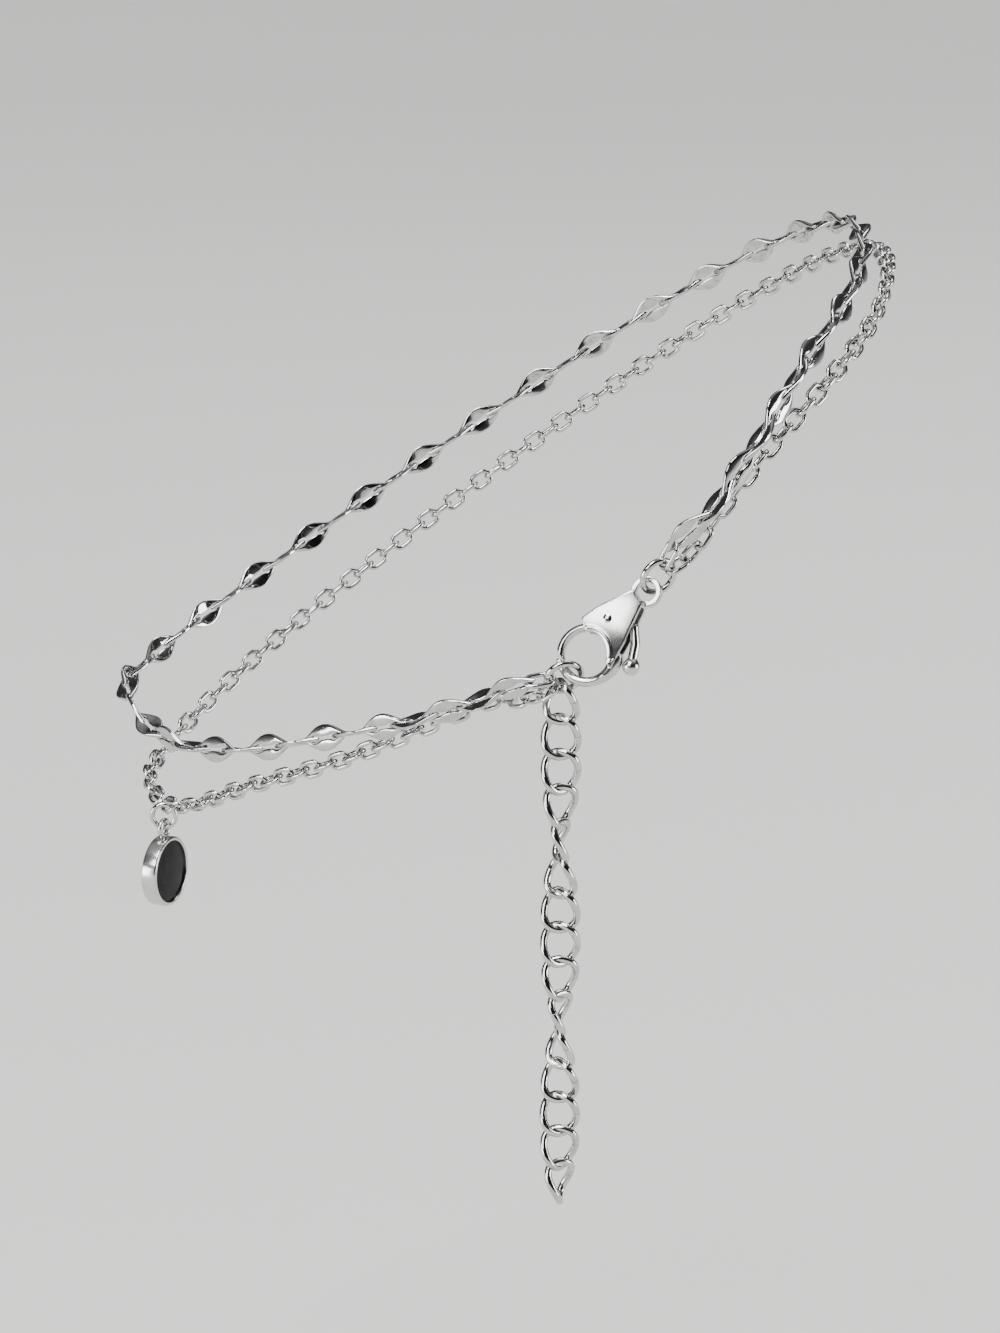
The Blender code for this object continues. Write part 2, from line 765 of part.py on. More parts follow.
def ring_places(level, place):
    """Places of the clasp ring and the end ring, X along the loop and Z the ring's own axis."""
    turned = level.to_3x3()
    out = turned @ Vector((0.0, 0.0, 1.0))
    eye = place @ Vector((EYE_X, 0.0, 0.0))
    away = turned @ Vector((math.cos(CLASP_RING_TURN), math.sin(CLASP_RING_TURN), 0.0))
    clasp_ring = frame_matrix(eye + away * (RING_RADIUS + EYE_PLAY), away, out)
    clasp_ring = clasp_ring @ Matrix.Rotation(RING_TILT, 4, "X")

    reach = HOOK_INNER_RADIUS - RING_WIRE / 2.0 - HOOK_PLAY
    seat = place @ hook_point(END_RING_SEAT, reach)
    away = turned @ Vector((-math.cos(END_RING_TURN), -math.sin(END_RING_TURN), 0.0))
    end_ring = frame_matrix(seat + away * RING_RADIUS, away, out)
    end_ring = end_ring @ Matrix.Rotation(-RING_TILT, 4, "X")
    return clasp_ring, end_ring


def seat_on(ring, angle):
    return ring @ (Vector((math.cos(angle), math.sin(angle), 0.0)) * RING_RADIUS)


def half_turn(angle):
    """The same turn of a flat link by less than a quarter either way."""
    return (angle + math.pi / 2.0) % math.pi - math.pi / 2.0


def roll_along(place, wire):
    """Roll of a link at a place that turns its hole along a wire's direction."""
    local = place.to_3x3().inverted() @ wire
    return half_turn(math.atan2(-local.y, local.z))


def seat_roll(place, ring):
    """Roll of a link at a place that turns its hole along the wire of the ring it hangs on."""
    spoke = place.translation - ring.translation
    axis = ring.to_3x3() @ Vector((0.0, 0.0, 1.0))
    return roll_along(place, axis.cross(spoke))


def rolls_along(places, clasp_ring, end_ring):
    """Quarter turns from link to link, eased near each ring into the turn that its seat asks for."""
    last = len(places) - 1
    first_shift = seat_roll(places[0], clasp_ring) - math.pi / 2.0
    quarter = math.pi / 2.0 * ((last + 1) % 2)
    last_shift = seat_roll(places[last], end_ring) - quarter
    rolls = []
    for index in range(len(places)):
        near_clasp = max(1.0 - index / ROLL_LINKS, 0.0)
        near_end = max(1.0 - (last - index) / ROLL_LINKS, 0.0)
        quarter = math.pi / 2.0 * ((index + 1) % 2)
        rolls.append(quarter + half_turn(first_shift) * near_clasp + half_turn(last_shift) * near_end)
    return rolls


def lip_links(path, clasp_ring, end_ring):
    """An oval link on each ring and lip links between them, each a quarter turn on from the last."""
    inner_half = LIP_LENGTH / 2.0 - LIP_TIP
    end_half = END_LINK_LENGTH / 2.0 - CABLE_WIRE
    hold = end_half - RING_WIRE / 2.0 - RING_CLEARANCE
    end_step = end_half + inner_half + FUSE_DEPTH
    nominal = 2.0 * inner_half + FUSE_DEPTH
    run = path.total - 2.0 * (hold + end_step)
    count = round(run / nominal) + 1
    pitch = run / (count - 1)
    link = lip_link(LIP_LENGTH + (pitch - nominal))
    end_link = oval_link(END_LINK_LENGTH, CABLE_WIDTH, CABLE_WIRE)
    places = [path.frame(hold, end_half * LINK_REACH)]
    for index in range(count):
        places.append(path.frame(hold + end_step + index * pitch, inner_half * LINK_REACH))
    places.append(path.frame(path.total - hold, end_half * LINK_REACH))
    parts = [end_link] + [link] * count + [end_link]
    rolls = rolls_along(places, clasp_ring, end_ring)
    return [placed(part, place @ Matrix.Rotation(roll, 4, "X"))
            for part, place, roll in zip(parts, places, rolls)]


def cable_steps(path):
    """First link's place, spacing and number of the cable strand's links."""
    hold = CABLE_LENGTH / 2.0 - CABLE_WIRE - RING_WIRE / 2.0 - RING_CLEARANCE
    nominal = CABLE_LENGTH - 2.0 * CABLE_WIRE
    count = round((path.total - 2.0 * hold) / nominal) + 1
    return hold, (path.total - 2.0 * hold) / (count - 1), count


def add_cable(path, clasp_ring, end_ring, material):
    """The three links that hold a ring and the two tubes between them; returns the charm's link."""
    hold, pitch, count = cable_steps(path)
    charm_at = hold + round((CHARM_WAY * path.total - hold) / pitch) * pitch
    half_hole = CABLE_LENGTH / 2.0 - CABLE_WIRE
    first = path.frame(hold, half_hole * LINK_REACH)
    charm = path.frame(charm_at, half_hole * LINK_REACH)
    last = path.frame(hold + (count - 1) * pitch, half_hole * LINK_REACH)
    link = oval_link(CABLE_LENGTH, CABLE_WIDTH, CABLE_WIRE)
    kept = (
        ("cable_link_clasp", first, seat_roll(first, clasp_ring)),
        ("cable_link_charm", charm, roll_along(charm, CHARM_RING_LEAN_TO.cross(OVAL_ACROSS))),
        ("cable_link_end", last, seat_roll(last, end_ring)),
    )
    for name, place, roll in kept:
        part = placed(link, place @ Matrix.Rotation(roll, 4, "X"))
        add_object(name, mesh_from(name, [part]), material)
    reach = CABLE_LENGTH / 2.0 + CABLE_END_GAP
    add_tube("cable_chain_long", path, hold + reach, charm_at - reach, material)
    add_tube("cable_chain_short", path, charm_at + reach, path.total - hold - reach, material)
    return charm


def add_tube(name, path, start, end, material):
    count = max(round((end - start) / CABLE_TUBE_SPACING), 2)
    curve = bpy.data.curves.new(name, "CURVE")
    curve.dimensions = "3D"
    curve.bevel_depth = CABLE_WIDTH / 2.0
    curve.bevel_resolution = 2
    curve.use_fill_caps = True
    spline = curve.splines.new("POLY")
    spline.points.add(count)
    for index in range(count + 1):
        spline.points[index].co = (*path.point(start + (end - start) * index / count), 1.0)
    add_object(name, curve, material)


# Extender and charm


def lowest_wire(ring, radius):
    """The lowest point of a ring's wire, whose ring lies in XY of its place."""
    down = ring.to_3x3().inverted() @ Vector((0.0, 0.0, -1.0))
    return ring @ (Vector((down.x, down.y, 0.0)).normalized() * radius)


def extender_links(ring):
    """Curb links hanging straight down from the end ring's lowest wire."""
    lowest = lowest_wire(ring, RING_RADIUS)
    inner_half = CURB_LENGTH / 2.0 - CURB_WIRE
    count = round((EXTENDER_LENGTH - CURB_LENGTH) / CURB_PITCH) + 1
    pitch = (EXTENDER_LENGTH - CURB_LENGTH) / (count - 1)
    link = curb_link(CURB_LENGTH + pitch - CURB_PITCH, CURB_WIDTH, CURB_WIRE, CURB_TWIST)
    down = Vector((0.0, 0.0, -1.0))
    first = lowest + down * (inner_half - RING_WIRE / 2.0 - CURB_PLAY)
    links = []
    for index in range(count):
        turn = CURB_TURN_START + CURB_TURN * index
        turn -= CURB_DWELL * math.sin(2.0 * turn)
        place = Matrix.Translation(first + down * (pitch * index)) @ Matrix.Rotation(turn, 4, "Z")
        links.append(placed(link, place @ Matrix.Rotation(math.pi / 2.0, 4, "X")))
    return links


def add_charm(place, material, bright):
    """The charm ring through its cable link, and the disc with its loop hanging from the ring."""
    radius = (CHARM_RING_OUTER - CHARM_RING_WIRE) / 2.0
    play = CABLE_WIDTH / 2.0 - CABLE_WIRE - CHARM_RING_WIRE / 2.0 - RING_CLEARANCE
    centre = place.translation + CHARM_RING_LEAN_TO * (radius + play)
    ring_place = frame_matrix(centre, CHARM_RING_LEAN_TO, OVAL_ACROSS)
    ring = jump_ring(CHARM_RING_OUTER, CHARM_RING_WIRE)
    add_object("charm_ring", mesh_from("charm_ring", [placed(ring, ring_place)]), material)

    loop_radius = (CHARM_LOOP_OUTER - CHARM_LOOP_WIRE) / 2.0
    loop_drop = loop_radius - CHARM_LOOP_WIRE / 2.0 - CHARM_RING_WIRE / 2.0 - RING_CLEARANCE
    hang = Matrix.Translation(lowest_wire(ring_place, radius)) @ Matrix.Rotation(CHARM_TURN, 4, "Z")
    hang = hang @ Matrix.Rotation(math.pi / 2.0, 4, "Y")
    disc_drop = loop_drop + CHARM_LOOP_OUTER / 2.0 - CHARM_LOOP_SINK + CHARM_DIAMETER / 2.0
    plate = disc(disc_drop, 0.0, CHARM_DIAMETER / 2.0, CHARM_THICKNESS, PLATE_SIDES)
    loop = placed(jump_ring(CHARM_LOOP_OUTER, CHARM_LOOP_WIRE), Matrix.Translation((loop_drop, 0.0, 0.0)))
    dish_radius = CHARM_DIAMETER / 2.0 - CHARM_RIM_WIDTH
    dish = disc(disc_drop, 0.0, dish_radius, CHARM_RIM * 2.0, PLATE_SIDES)
    dish = placed(dish, Matrix.Translation((0.0, 0.0, CHARM_THICKNESS / 2.0)))
    add_solid("charm", plate, [(loop, "UNION"), (dish, "DIFFERENCE")], hang, bright)


def build():
    clear_scene()
    steel = make_material("steel", STEEL)
    bright = make_material("steel_bright", STEEL_BRIGHT)
    level, place = clasp_place()
    add_clasp_body(place, bright)
    add_clasp_lever(place, bright)
    clasp_ring, end_ring = ring_places(level, place)
    for name, ring_place in (("clasp_ring", clasp_ring), ("end_ring", end_ring)):
        ring = placed(jump_ring(RING_OUTER, RING_WIRE), ring_place)
        add_object(name, mesh_from(name, [ring]), steel)
    lip = Path(route_path("lip", clasp_ring, CLASP_LIP_SEAT, end_ring, END_LIP_SEAT))
    cable = Path(route_path("cable", clasp_ring, CLASP_CABLE_SEAT, end_ring, END_CABLE_SEAT))
    add_chain("lip_chain", lip_links(lip, clasp_ring, end_ring), steel)
    charm_place = add_cable(cable, clasp_ring, end_ring, steel)
    add_chain("extender_chain", extender_links(end_ring), steel)
    add_charm(charm_place, steel, bright)


build()
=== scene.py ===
import bisect
import math
import random

import bmesh
import bpy
from mathutils import Matrix, Vector


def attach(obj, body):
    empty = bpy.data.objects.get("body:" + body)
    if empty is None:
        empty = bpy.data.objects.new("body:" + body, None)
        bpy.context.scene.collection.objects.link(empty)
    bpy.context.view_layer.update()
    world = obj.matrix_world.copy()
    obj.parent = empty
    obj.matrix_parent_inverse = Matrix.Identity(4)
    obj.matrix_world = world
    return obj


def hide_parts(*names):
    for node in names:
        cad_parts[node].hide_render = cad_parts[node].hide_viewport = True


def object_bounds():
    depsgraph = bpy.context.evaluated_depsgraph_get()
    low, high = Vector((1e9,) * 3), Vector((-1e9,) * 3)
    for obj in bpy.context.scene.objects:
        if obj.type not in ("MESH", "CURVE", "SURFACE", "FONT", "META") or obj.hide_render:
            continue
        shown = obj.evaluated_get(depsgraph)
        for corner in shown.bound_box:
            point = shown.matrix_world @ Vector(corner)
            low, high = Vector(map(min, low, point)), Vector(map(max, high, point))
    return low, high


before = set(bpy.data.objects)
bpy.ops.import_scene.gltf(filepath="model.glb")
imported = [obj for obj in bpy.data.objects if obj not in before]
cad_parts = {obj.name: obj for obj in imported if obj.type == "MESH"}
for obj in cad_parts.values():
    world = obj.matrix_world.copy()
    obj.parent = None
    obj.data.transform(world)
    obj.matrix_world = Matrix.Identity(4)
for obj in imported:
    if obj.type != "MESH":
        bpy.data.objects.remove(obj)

CAD_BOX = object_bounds()

MM = 0.001

# The oval that the loop lies on, which is tilted and widens downwards
LOOP_TILT = math.radians(33.4)
LOOP_HALF_LENGTH = 42.6 * MM
LOOP_HALF_WIDTH = 29.0 * MM
LOOP_EGG = 0.22
FLARE_FRONT = 0.23
FLARE_BACK = 0.38
FLARE_SIDE = 0.10

# How the strands lie on it
FAR_LEVEL = 4.0 * MM
DROOP = 16.6 * MM
STRAND_SPLIT = 8.8 * MM
STRAND_STACK = 2.55 * MM
RING_BLEND = 0.030

# The strands' route from the clasp ring round the far side to the end ring:
# way round, drop as a share of DROOP, how far the cable strand lies below the lip strand as a share
# of STRAND_SPLIT, how far the lip strand stands over the cable strand as a share of STRAND_STACK
ROUTE = (
    (0.000, 0.860, 0.06, 0.95),
    (0.030, 0.690, 0.14, 1.00),
    (0.059, 0.530, 0.21, 0.90),
    (0.095, 0.375, 0.33, 0.40),
    (0.145, 0.260, 0.35, 0.00),
    (0.195, 0.140, 0.36, 0.00),
    (0.262, 0.040, 0.38, 0.00),
    (0.366, 0.000, 0.46, 0.00),
    (0.484, 0.000, 0.58, 0.00),
    (0.602, 0.000, 0.74, 0.00),
    (0.696, 0.000, 0.93, 0.00),
    (0.752, 0.020, 1.00, 0.00),
    (0.790, 0.190, 0.91, 0.00),
    (0.826, 0.375, 0.67, 0.00),
    (0.867, 0.550, 0.40, 0.00),
    (0.917, 0.720, 0.28, 0.30),
    (0.958, 0.865, 0.13, 0.95),
    (1.000, 0.990, 0.06, 0.95),
)
ROUTE_STEPS = 1600

# Lip strand: long stamped links, each turned a quarter from its neighbours
LIP_LENGTH = 5.6 * MM
LIP_WIDTH = 2.5 * MM
LIP_TIP = 1.08 * MM
LIP_THICKNESS = 0.5 * MM
LIP_PLATE_THICKNESS = 0.34 * MM
LIP_SLOT = 0.3 * MM
LIP_HOLE = 0.62 * MM

# The lip strand ends in one oval link at each ring. Over the last few links, both strands turn into
# the way that the ring asks for
END_LINK_LENGTH = 3.0 * MM
ROLL_LINKS = 8.0
FUSE_DEPTH = 0.09 * MM

# A link's direction is read over this share of its inner half-length each way
LINK_REACH = 0.6

# Cable strand: small oval links
CABLE_LENGTH = 2.6 * MM
CABLE_WIDTH = 1.85 * MM
CABLE_WIRE = 0.45 * MM

# Jump rings
RING_OUTER = 3.75 * MM
RING_WIRE = 0.6 * MM
RING_TILT = math.radians(35.0)
CHARM_RING_OUTER = 2.75 * MM
CHARM_RING_WIRE = 0.5 * MM
RING_CLEARANCE = 0.12 * MM
EYE_PLAY = 0.15 * MM
HOOK_PLAY = 0.22 * MM

# Clasp, measured from the claw's far end along its axis, with the gate on the +Y side
CLASP_ANGLE = math.radians(277.9)
CLASP_DROP = 0.930
CLASP_OUT = 0.9 * MM
CLASP_PITCH = math.radians(6.5)
CLASP_TILT = math.radians(-25.0)
CLASP_LENGTH = 11.9 * MM
CLASP_THICKNESS = 2.4 * MM
HOOK_INNER_RADIUS = 2.0 * MM
HOOK_WIRE = 0.9 * MM
HOOK_OFFSET = -1.0 * MM
HOOK_ROOT_ANGLE = math.radians(-42.0)
HOOK_TIP_ANGLE = math.radians(148.0)
EYE_RADIUS = 1.4 * MM
EYE_HOLE_RADIUS = 0.88 * MM
EYE_THICKNESS = 0.8 * MM
EYE_STEP = 0.15 * MM
NECK_WIDTH = 1.6 * MM

# The clasp's cheeks: a round front edge along the hook, a top and a bottom corner, and a sloping back
CHEEK_LOW_ANGLE = math.radians(-62.0)
CHEEK_HIGH_ANGLE = math.radians(52.0)
CHEEK_TOP = 1.75 * MM
CHEEK_TOP_LENGTH = 0.45 * MM
CHEEK_BACK_TOP = 1.6 * MM
CHEEK_BACK_BOTTOM = 2.55 * MM
CHEEK_FOOT = 0.72 * MM

# The slot between the cheeks, which the lever swings in
SLOT_FRONT_HEIGHT = 0.5 * MM
SLOT_FLOOR_DEPTH = 0.2 * MM
SLOT_TO_PIVOT = 1.2 * MM
SLOT_BACK_WALL = 0.3 * MM

# The lever: the gate over the hook, the thumb arm and its knob. The gate's end and the claw's tip
# are cut round the pivot, so that the gate swings inwards past the tip
LEVER_THICKNESS = 1.0 * MM
LEVER_CLEARANCE = 0.12 * MM
PIVOT_X = 6.4 * MM
PIVOT_Y = 0.1 * MM
PIVOT = Vector((PIVOT_X, PIVOT_Y, 0.0))
PIN_RADIUS = 0.4 * MM
BOSS_RADIUS = 0.95 * MM
GATE_WIDTH = 0.8 * MM
GATE_ROOT_WIDTH = 1.12 * MM
GATE_START_ANGLE = math.radians(40.0)
GATE_END_ANGLE = math.radians(162.0)
GATE_REACH = 5.45 * MM
GATE_GAP = 0.12 * MM
SWING_START = math.radians(155.0)
SWING_END = math.radians(200.0)
KNOB_RADIUS = 0.8 * MM
KNOB = Vector((5.3 * MM, -4.4 * MM, 0.0))
THUMB_WIDTH = 0.9 * MM
THUMB_REACH = 1.3 * MM
THUMB_DROP = 1.9 * MM
THUMB_BULGE = 0.3 * MM

# How the rings hang in the clasp
CLASP_RING_TURN = math.radians(14.0)
END_RING_SEAT = math.radians(205.0)
END_RING_TURN = math.radians(-15.0)

# Where the strands and the extender hold the rings, from the ring's line along the loop
CLASP_LIP_SEAT = math.radians(16.0)
CLASP_CABLE_SEAT = math.radians(-30.0)
END_LIP_SEAT = math.radians(-24.0)
END_CABLE_SEAT = math.radians(22.0)

# Extender: hanging curb links
EXTENDER_LENGTH = 49.5 * MM
CURB_LENGTH = 4.45 * MM
CURB_WIDTH = 3.75 * MM
CURB_WIRE = 0.7 * MM
CURB_TWIST = 0.52 * MM
CURB_PITCH = 3.25 * MM
CURB_TURN = math.radians(34.0)
CURB_TURN_START = math.radians(-46.0)
CURB_DWELL = 0.2
CURB_PLAY = 0.2 * MM

# Charm
CHARM_WAY = 0.773
CHARM_DIAMETER = 6.8 * MM
CHARM_THICKNESS = 1.6 * MM
CHARM_RIM = 0.25 * MM
CHARM_RIM_WIDTH = 0.4 * MM
CHARM_LOOP_OUTER = 2.1 * MM
CHARM_LOOP_WIRE = 0.55 * MM
CHARM_LOOP_SINK = 0.25 * MM
CHARM_TURN = math.radians(-20.0)
CHARM_RING_LEAN = math.radians(25.0)

# How finely round shapes are divided, and how often the angle round the oval is corrected
ANGLE_STEPS = 8
LINK_SECTIONS = 36
WIRE_SIDES = 12
LIP_SECTIONS = 48
LIP_PROFILE = 14
RING_SECTIONS = 96
RING_SIDES = 20
CURB_SECTIONS = 56
CURB_SIDES = 16
EYE_SIDES = 64
HOLE_SIDES = 48
BAR_SIDES = 28
ARC_STEPS = 28
CLAW_STEPS = 44
GATE_STEPS = 34
KNOB_COLUMNS = 40
KNOB_ROWS = 24
DISC_SIDES = 128
PIN_HEAD_STEPS = 6
CHARM_BACK_STEPS = 12
CHARM_EDGE_STEPS = 6
CHARM_RIM_STEPS = 4
CHARM_FACE_STEPS = 14
FLOOR_SIDES = 96
SMOOTH_ANGLE = math.radians(40.0)
SMALL = 1e-3

# A bent ring's ends meet in a fine seam
SEAM = 0.03 * MM
RING_SEAM_ANGLE = math.radians(118.0)
CURB_SEAM_ANGLE = math.radians(8.0)

# The lip link's outline: the swell of its outer curve, where its slot widens to the end holes, and
# where its plate thickens to the wire of its ends, as shares of the way from the middle to a tip
LIP_OUTER_POWER = 1.3
LIP_TIP_WIDTH = 0.28
LIP_SLOT_END = 0.22
LIP_HOLE_START = 0.62
LIP_HOLE_ROUND = 7.0
LIP_TIP_SQUARE = 2.2
LIP_PLATE_SQUARE = 4.5
LIP_WIRE_START = 0.15
LIP_WIRE_FULL = 0.75
LIP_DOME = 0.13 * MM

# Links don't all lie at exactly the same turn
SEED = 7
CABLE_JITTER = math.radians(7.0)
LIP_JITTER = math.radians(3.0)

# At the back of the loop the lip links lean, so that their plates face up a little
LIP_LEAN = math.radians(-24.0)
LIP_LEAN_START = 0.775
LIP_LEAN_FULL = 0.82
LIP_LEAN_EASE = 0.90
LIP_LEAN_END = 0.96

UP = Vector((0.0, 0.0, 1.0))
DOWN = Vector((0.0, 0.0, -1.0))

# The clasp's cast surface. BEAD_DEPTH and PIN_HEAD_FOOT are shares: how much of its radius a bead
# lies in, and how high in a cheek a head starts
CAST_VOXEL = 0.055 * MM
CAST_SMOOTHING = 10
CAST_SMOOTH_FACTOR = 0.5
CHEEK_CENTRE = (6.6 * MM, -0.35 * MM)
CHEEK_SPREAD = 3.3 * MM
CHEEK_THINNING = 0.5
CLAW_ROOT_WIDTH = 1.35 * MM
CLAW_ROOT_DEPTH = 2.25 * MM
CLAW_TAPER = 0.42
BEAD_RADIUS = 0.32 * MM
BEAD_DEPTH = 0.8
BEAD_LOW_ANGLE = math.radians(-64.0)
BEAD_HIGH_ANGLE = math.radians(50.0)
PIN_HEAD_RADIUS = 0.42 * MM
PIN_HEAD_HEIGHT = 0.10 * MM
PIN_HEAD_FOOT = 0.8

# The charm's turned outline
CHARM_EDGE_ROUND = 0.22 * MM
CHARM_RIM_ROUND = 0.10 * MM
CHARM_CROWN = 0.12 * MM


def add_object(name, data, material=None):
    if material:
        data.materials.append(material)
    obj = bpy.data.objects.new(name, data)
    bpy.context.scene.collection.objects.link(obj)
    return obj


def joined(parts):
    """One part, which is points and faces, from several."""
    points = []
    faces = []
    for part_points, part_faces in parts:
        start = len(points)
        points.extend(part_points)
        faces.extend([tuple(start + index for index in face) for face in part_faces])
    return points, faces


def placed(part, matrix):
    points, faces = part
    return [matrix @ point for point in points], faces


def angles_between(start, end, steps):
    return [start + (end - start) * step / steps for step in range(steps + 1)]


def arc(centre_x, centre_y, radius, angles):
    """Flat points round a centre."""
    return [(centre_x + radius * math.cos(angle), centre_y + radius * math.sin(angle))
            for angle in angles]


def rounding(centre_x, centre_y, radius, start, end, steps):
    """A rounded stretch of a profile, with its angles in degrees."""
    angles = [math.radians(degrees) for degrees in angles_between(start, end, steps)]
    return arc(centre_x, centre_y, radius, angles)


def spoke(angle):
    return Vector((math.cos(angle), math.sin(angle), 0.0))


def mesh_from(name, parts):
    """One smooth mesh from several parts, with its faces pointing out."""
    points, faces = joined(parts)
    mesh = bpy.data.meshes.new(name)
    mesh.from_pydata([tuple(point) for point in points], [], faces)
    work = bmesh.new()
    work.from_mesh(mesh)
    bmesh.ops.recalc_face_normals(work, faces=work.faces)
    work.to_mesh(mesh)
    work.free()
    mesh.shade_smooth()
    mesh.set_sharp_from_angle(angle=SMOOTH_ANGLE)
    return mesh


# The oval's surface and the route on it


OVAL_ALONG = Vector((math.cos(LOOP_TILT), 0.0, math.sin(LOOP_TILT)))
OVAL_ACROSS = Vector((0.0, 1.0, 0.0))
OVAL_UP = Vector((-math.sin(LOOP_TILT), 0.0, math.cos(LOOP_TILT)))

# The charm ring hangs off the strand down and a little away from the oval
CHARM_RING_LEAN_TO = Vector((-math.sin(CHARM_RING_LEAN), 0.0, -math.cos(CHARM_RING_LEAN)))


def oval_radii(angle, height):
    """Half-length and half-width of the oval at a height, seen at an angle round it."""
    front = (1.0 + math.cos(angle)) / 2.0
    flare = FLARE_BACK + (FLARE_FRONT - FLARE_BACK) * front
    along = LOOP_HALF_LENGTH - flare * height
    across = (LOOP_HALF_WIDTH - FLARE_SIDE * height) * (1.0 + LOOP_EGG * math.cos(angle))
    return along, across


def oval_normal(angle, height):
    along, across = oval_radii(angle, height)
    normal = OVAL_ALONG * (across * math.cos(angle)) + OVAL_ACROSS * (along * math.sin(angle))
    return normal.normalized()


def oval_point(angle, height, out):
    along, across = oval_radii(angle, height)
    point = OVAL_ALONG * (along * math.cos(angle)) + OVAL_ACROSS * (across * math.sin(angle))
    return point + OVAL_UP * height + oval_normal(angle, height) * out


def oval_angle(point):
    """Angle round the oval of a point near its surface."""
    height = point.dot(OVAL_UP)
    aside = point.dot(OVAL_ACROSS)
    forward = point.dot(OVAL_ALONG)
    angle = math.atan2(aside / LOOP_HALF_WIDTH, forward / LOOP_HALF_LENGTH)
    for _ in range(ANGLE_STEPS):
        along, across = oval_radii(angle, height)
        angle = math.atan2(aside / across, forward / along)
    return angle % math.tau


def table_value(way, column):
    """A column of ROUTE at a share of the way, on a smooth curve through its rows."""
    last = len(ROUTE) - 1
    row = 0
    while row < last - 1 and way > ROUTE[row + 1][0]:
        row += 1
    before = ROUTE[max(row - 1, 0)]
    start = ROUTE[row]
    end = ROUTE[row + 1]
    after = ROUTE[min(row + 2, last)]
    span = end[0] - start[0]
    share = (way - start[0]) / span
    start_slope = (end[column] - before[column]) / (end[0] - before[0]) * span
    end_slope = (after[column] - start[column]) / (after[0] - start[0]) * span
    square = share * share
    cube = square * share
    return (
        (2.0 * cube - 3.0 * square + 1.0) * start[column]
        + (cube - 2.0 * square + share) * start_slope
        + (3.0 * square - 2.0 * cube) * end[column]
        + (cube - square) * end_slope
    )


def route_path(strand, clasp_ring, clasp_seat, end_ring, end_seat):
    """Points of the lip or the cable strand from its seat on one ring to its seat on the other.

    It leaves each ring along the spoke of its seat and then joins its route on the oval.
    """
    start = seat_on(clasp_ring, clasp_seat)
    end = seat_on(end_ring, end_seat)
    start_spoke = (start - clasp_ring.translation).normalized()
    end_spoke = (end - end_ring.translation).normalized()
    start_angle = oval_angle(clasp_ring.translation)
    end_angle = oval_angle(end_ring.translation) + math.tau

    def on_oval(way):
        angle = start_angle + (end_angle - start_angle) * way
        height = FAR_LEVEL - DROOP * table_value(way, 1)
        if strand == "cable":
            return oval_point(angle, height - STRAND_SPLIT * table_value(way, 2), 0.0)
        return oval_point(angle, height, STRAND_STACK * table_value(way, 3))

    def fade(way):
        share = min(way / RING_BLEND, 1.0)
        return (1.0 - share) ** 2 * (1.0 + 2.0 * share)

    def lead(way):
        return way * (1.0 - min(way / RING_BLEND, 1.0)) ** 2

    start_shift = start - on_oval(0.0)
    end_shift = end - on_oval(1.0)
    start_pace = (on_oval(SMALL) - on_oval(0.0)) / SMALL
    end_pace = (on_oval(1.0) - on_oval(1.0 - SMALL)) / SMALL
    start_turn = start_spoke * start_pace.length - start_pace
    end_turn = -end_spoke * end_pace.length - end_pace
    points = []
    for step in range(ROUTE_STEPS + 1):
        way = step / ROUTE_STEPS
        point = on_oval(way) + start_shift * fade(way) + end_shift * fade(1.0 - way)
        points.append(point + start_turn * lead(way) - end_turn * lead(1.0 - way))
    return points


class Path:
    """A polyline that gives points, directions and outward normals by length along it."""

    def __init__(self, points):
        self.points = points
        self.lengths = [0.0]
        for first, second in zip(points, points[1:]):
            self.lengths.append(self.lengths[-1] + (second - first).length)
        self.total = self.lengths[-1]

    def point(self, length):
        low = bisect.bisect_right(self.lengths, length, 1, len(self.lengths) - 1) - 1
        step = self.lengths[low + 1] - self.lengths[low]
        return self.points[low].lerp(self.points[low + 1], (length - self.lengths[low]) / step)

    def frame(self, length, reach):
        """Place with X along the path, Z out from the oval, for a link that reaches both ways."""
        direction = (self.point(length + reach) - self.point(length - reach)).normalized()
        centre = self.point(length)
        out = oval_normal(oval_angle(centre), centre.dot(OVAL_UP))
        out = (out - direction * out.dot(direction)).normalized()
        return frame_matrix(centre, direction, out)


def frame_matrix(centre, along, out):
    """A place with X along one direction and Z out along another."""
    side = out.cross(along)
    matrix = Matrix((along, side, out)).transposed().to_4x4()
    matrix.translation = centre
    return matrix


# Links and rings


def tube_faces(pairs, sides):
    """The faces between pairs of rings of points, which are given by their numbers."""
    faces = []
    for ring, after in pairs:
        for side in range(sides):
            beside = (side + 1) % sides
            faces.append((ring * sides + side, after * sides + side,
                          after * sides + beside, ring * sides + beside))
    return faces


def swept_loop(rings):
    """A closed tube through closed rings of points, all with as many points."""
    count = len(rings)
    pairs = [(ring, (ring + 1) % count) for ring in range(count)]
    return [point for ring in rings for point in ring], tube_faces(pairs, len(rings[0]))


def open_tube(rings):
    """A tube through open rings of points, with a flat cap on each end."""
    count = len(rings)
    sides = len(rings[0])
    caps = [tuple(range(sides)), tuple(range((count - 1) * sides, count * sides))]
    pairs = [(ring, ring + 1) for ring in range(count - 1)]
    return [point for ring in rings for point in ring], caps + tube_faces(pairs, sides)


def wire_ring(centre, across, up, radius_across, radius_up, sides):
    """The points round a wire's oval section."""
    ring = []
    for side in range(sides):
        angle = math.tau * (side + 0.5) / sides
        aside = across * (radius_across * math.cos(angle))
        ring.append(centre + aside + up * (radius_up * math.sin(angle)))
    return ring


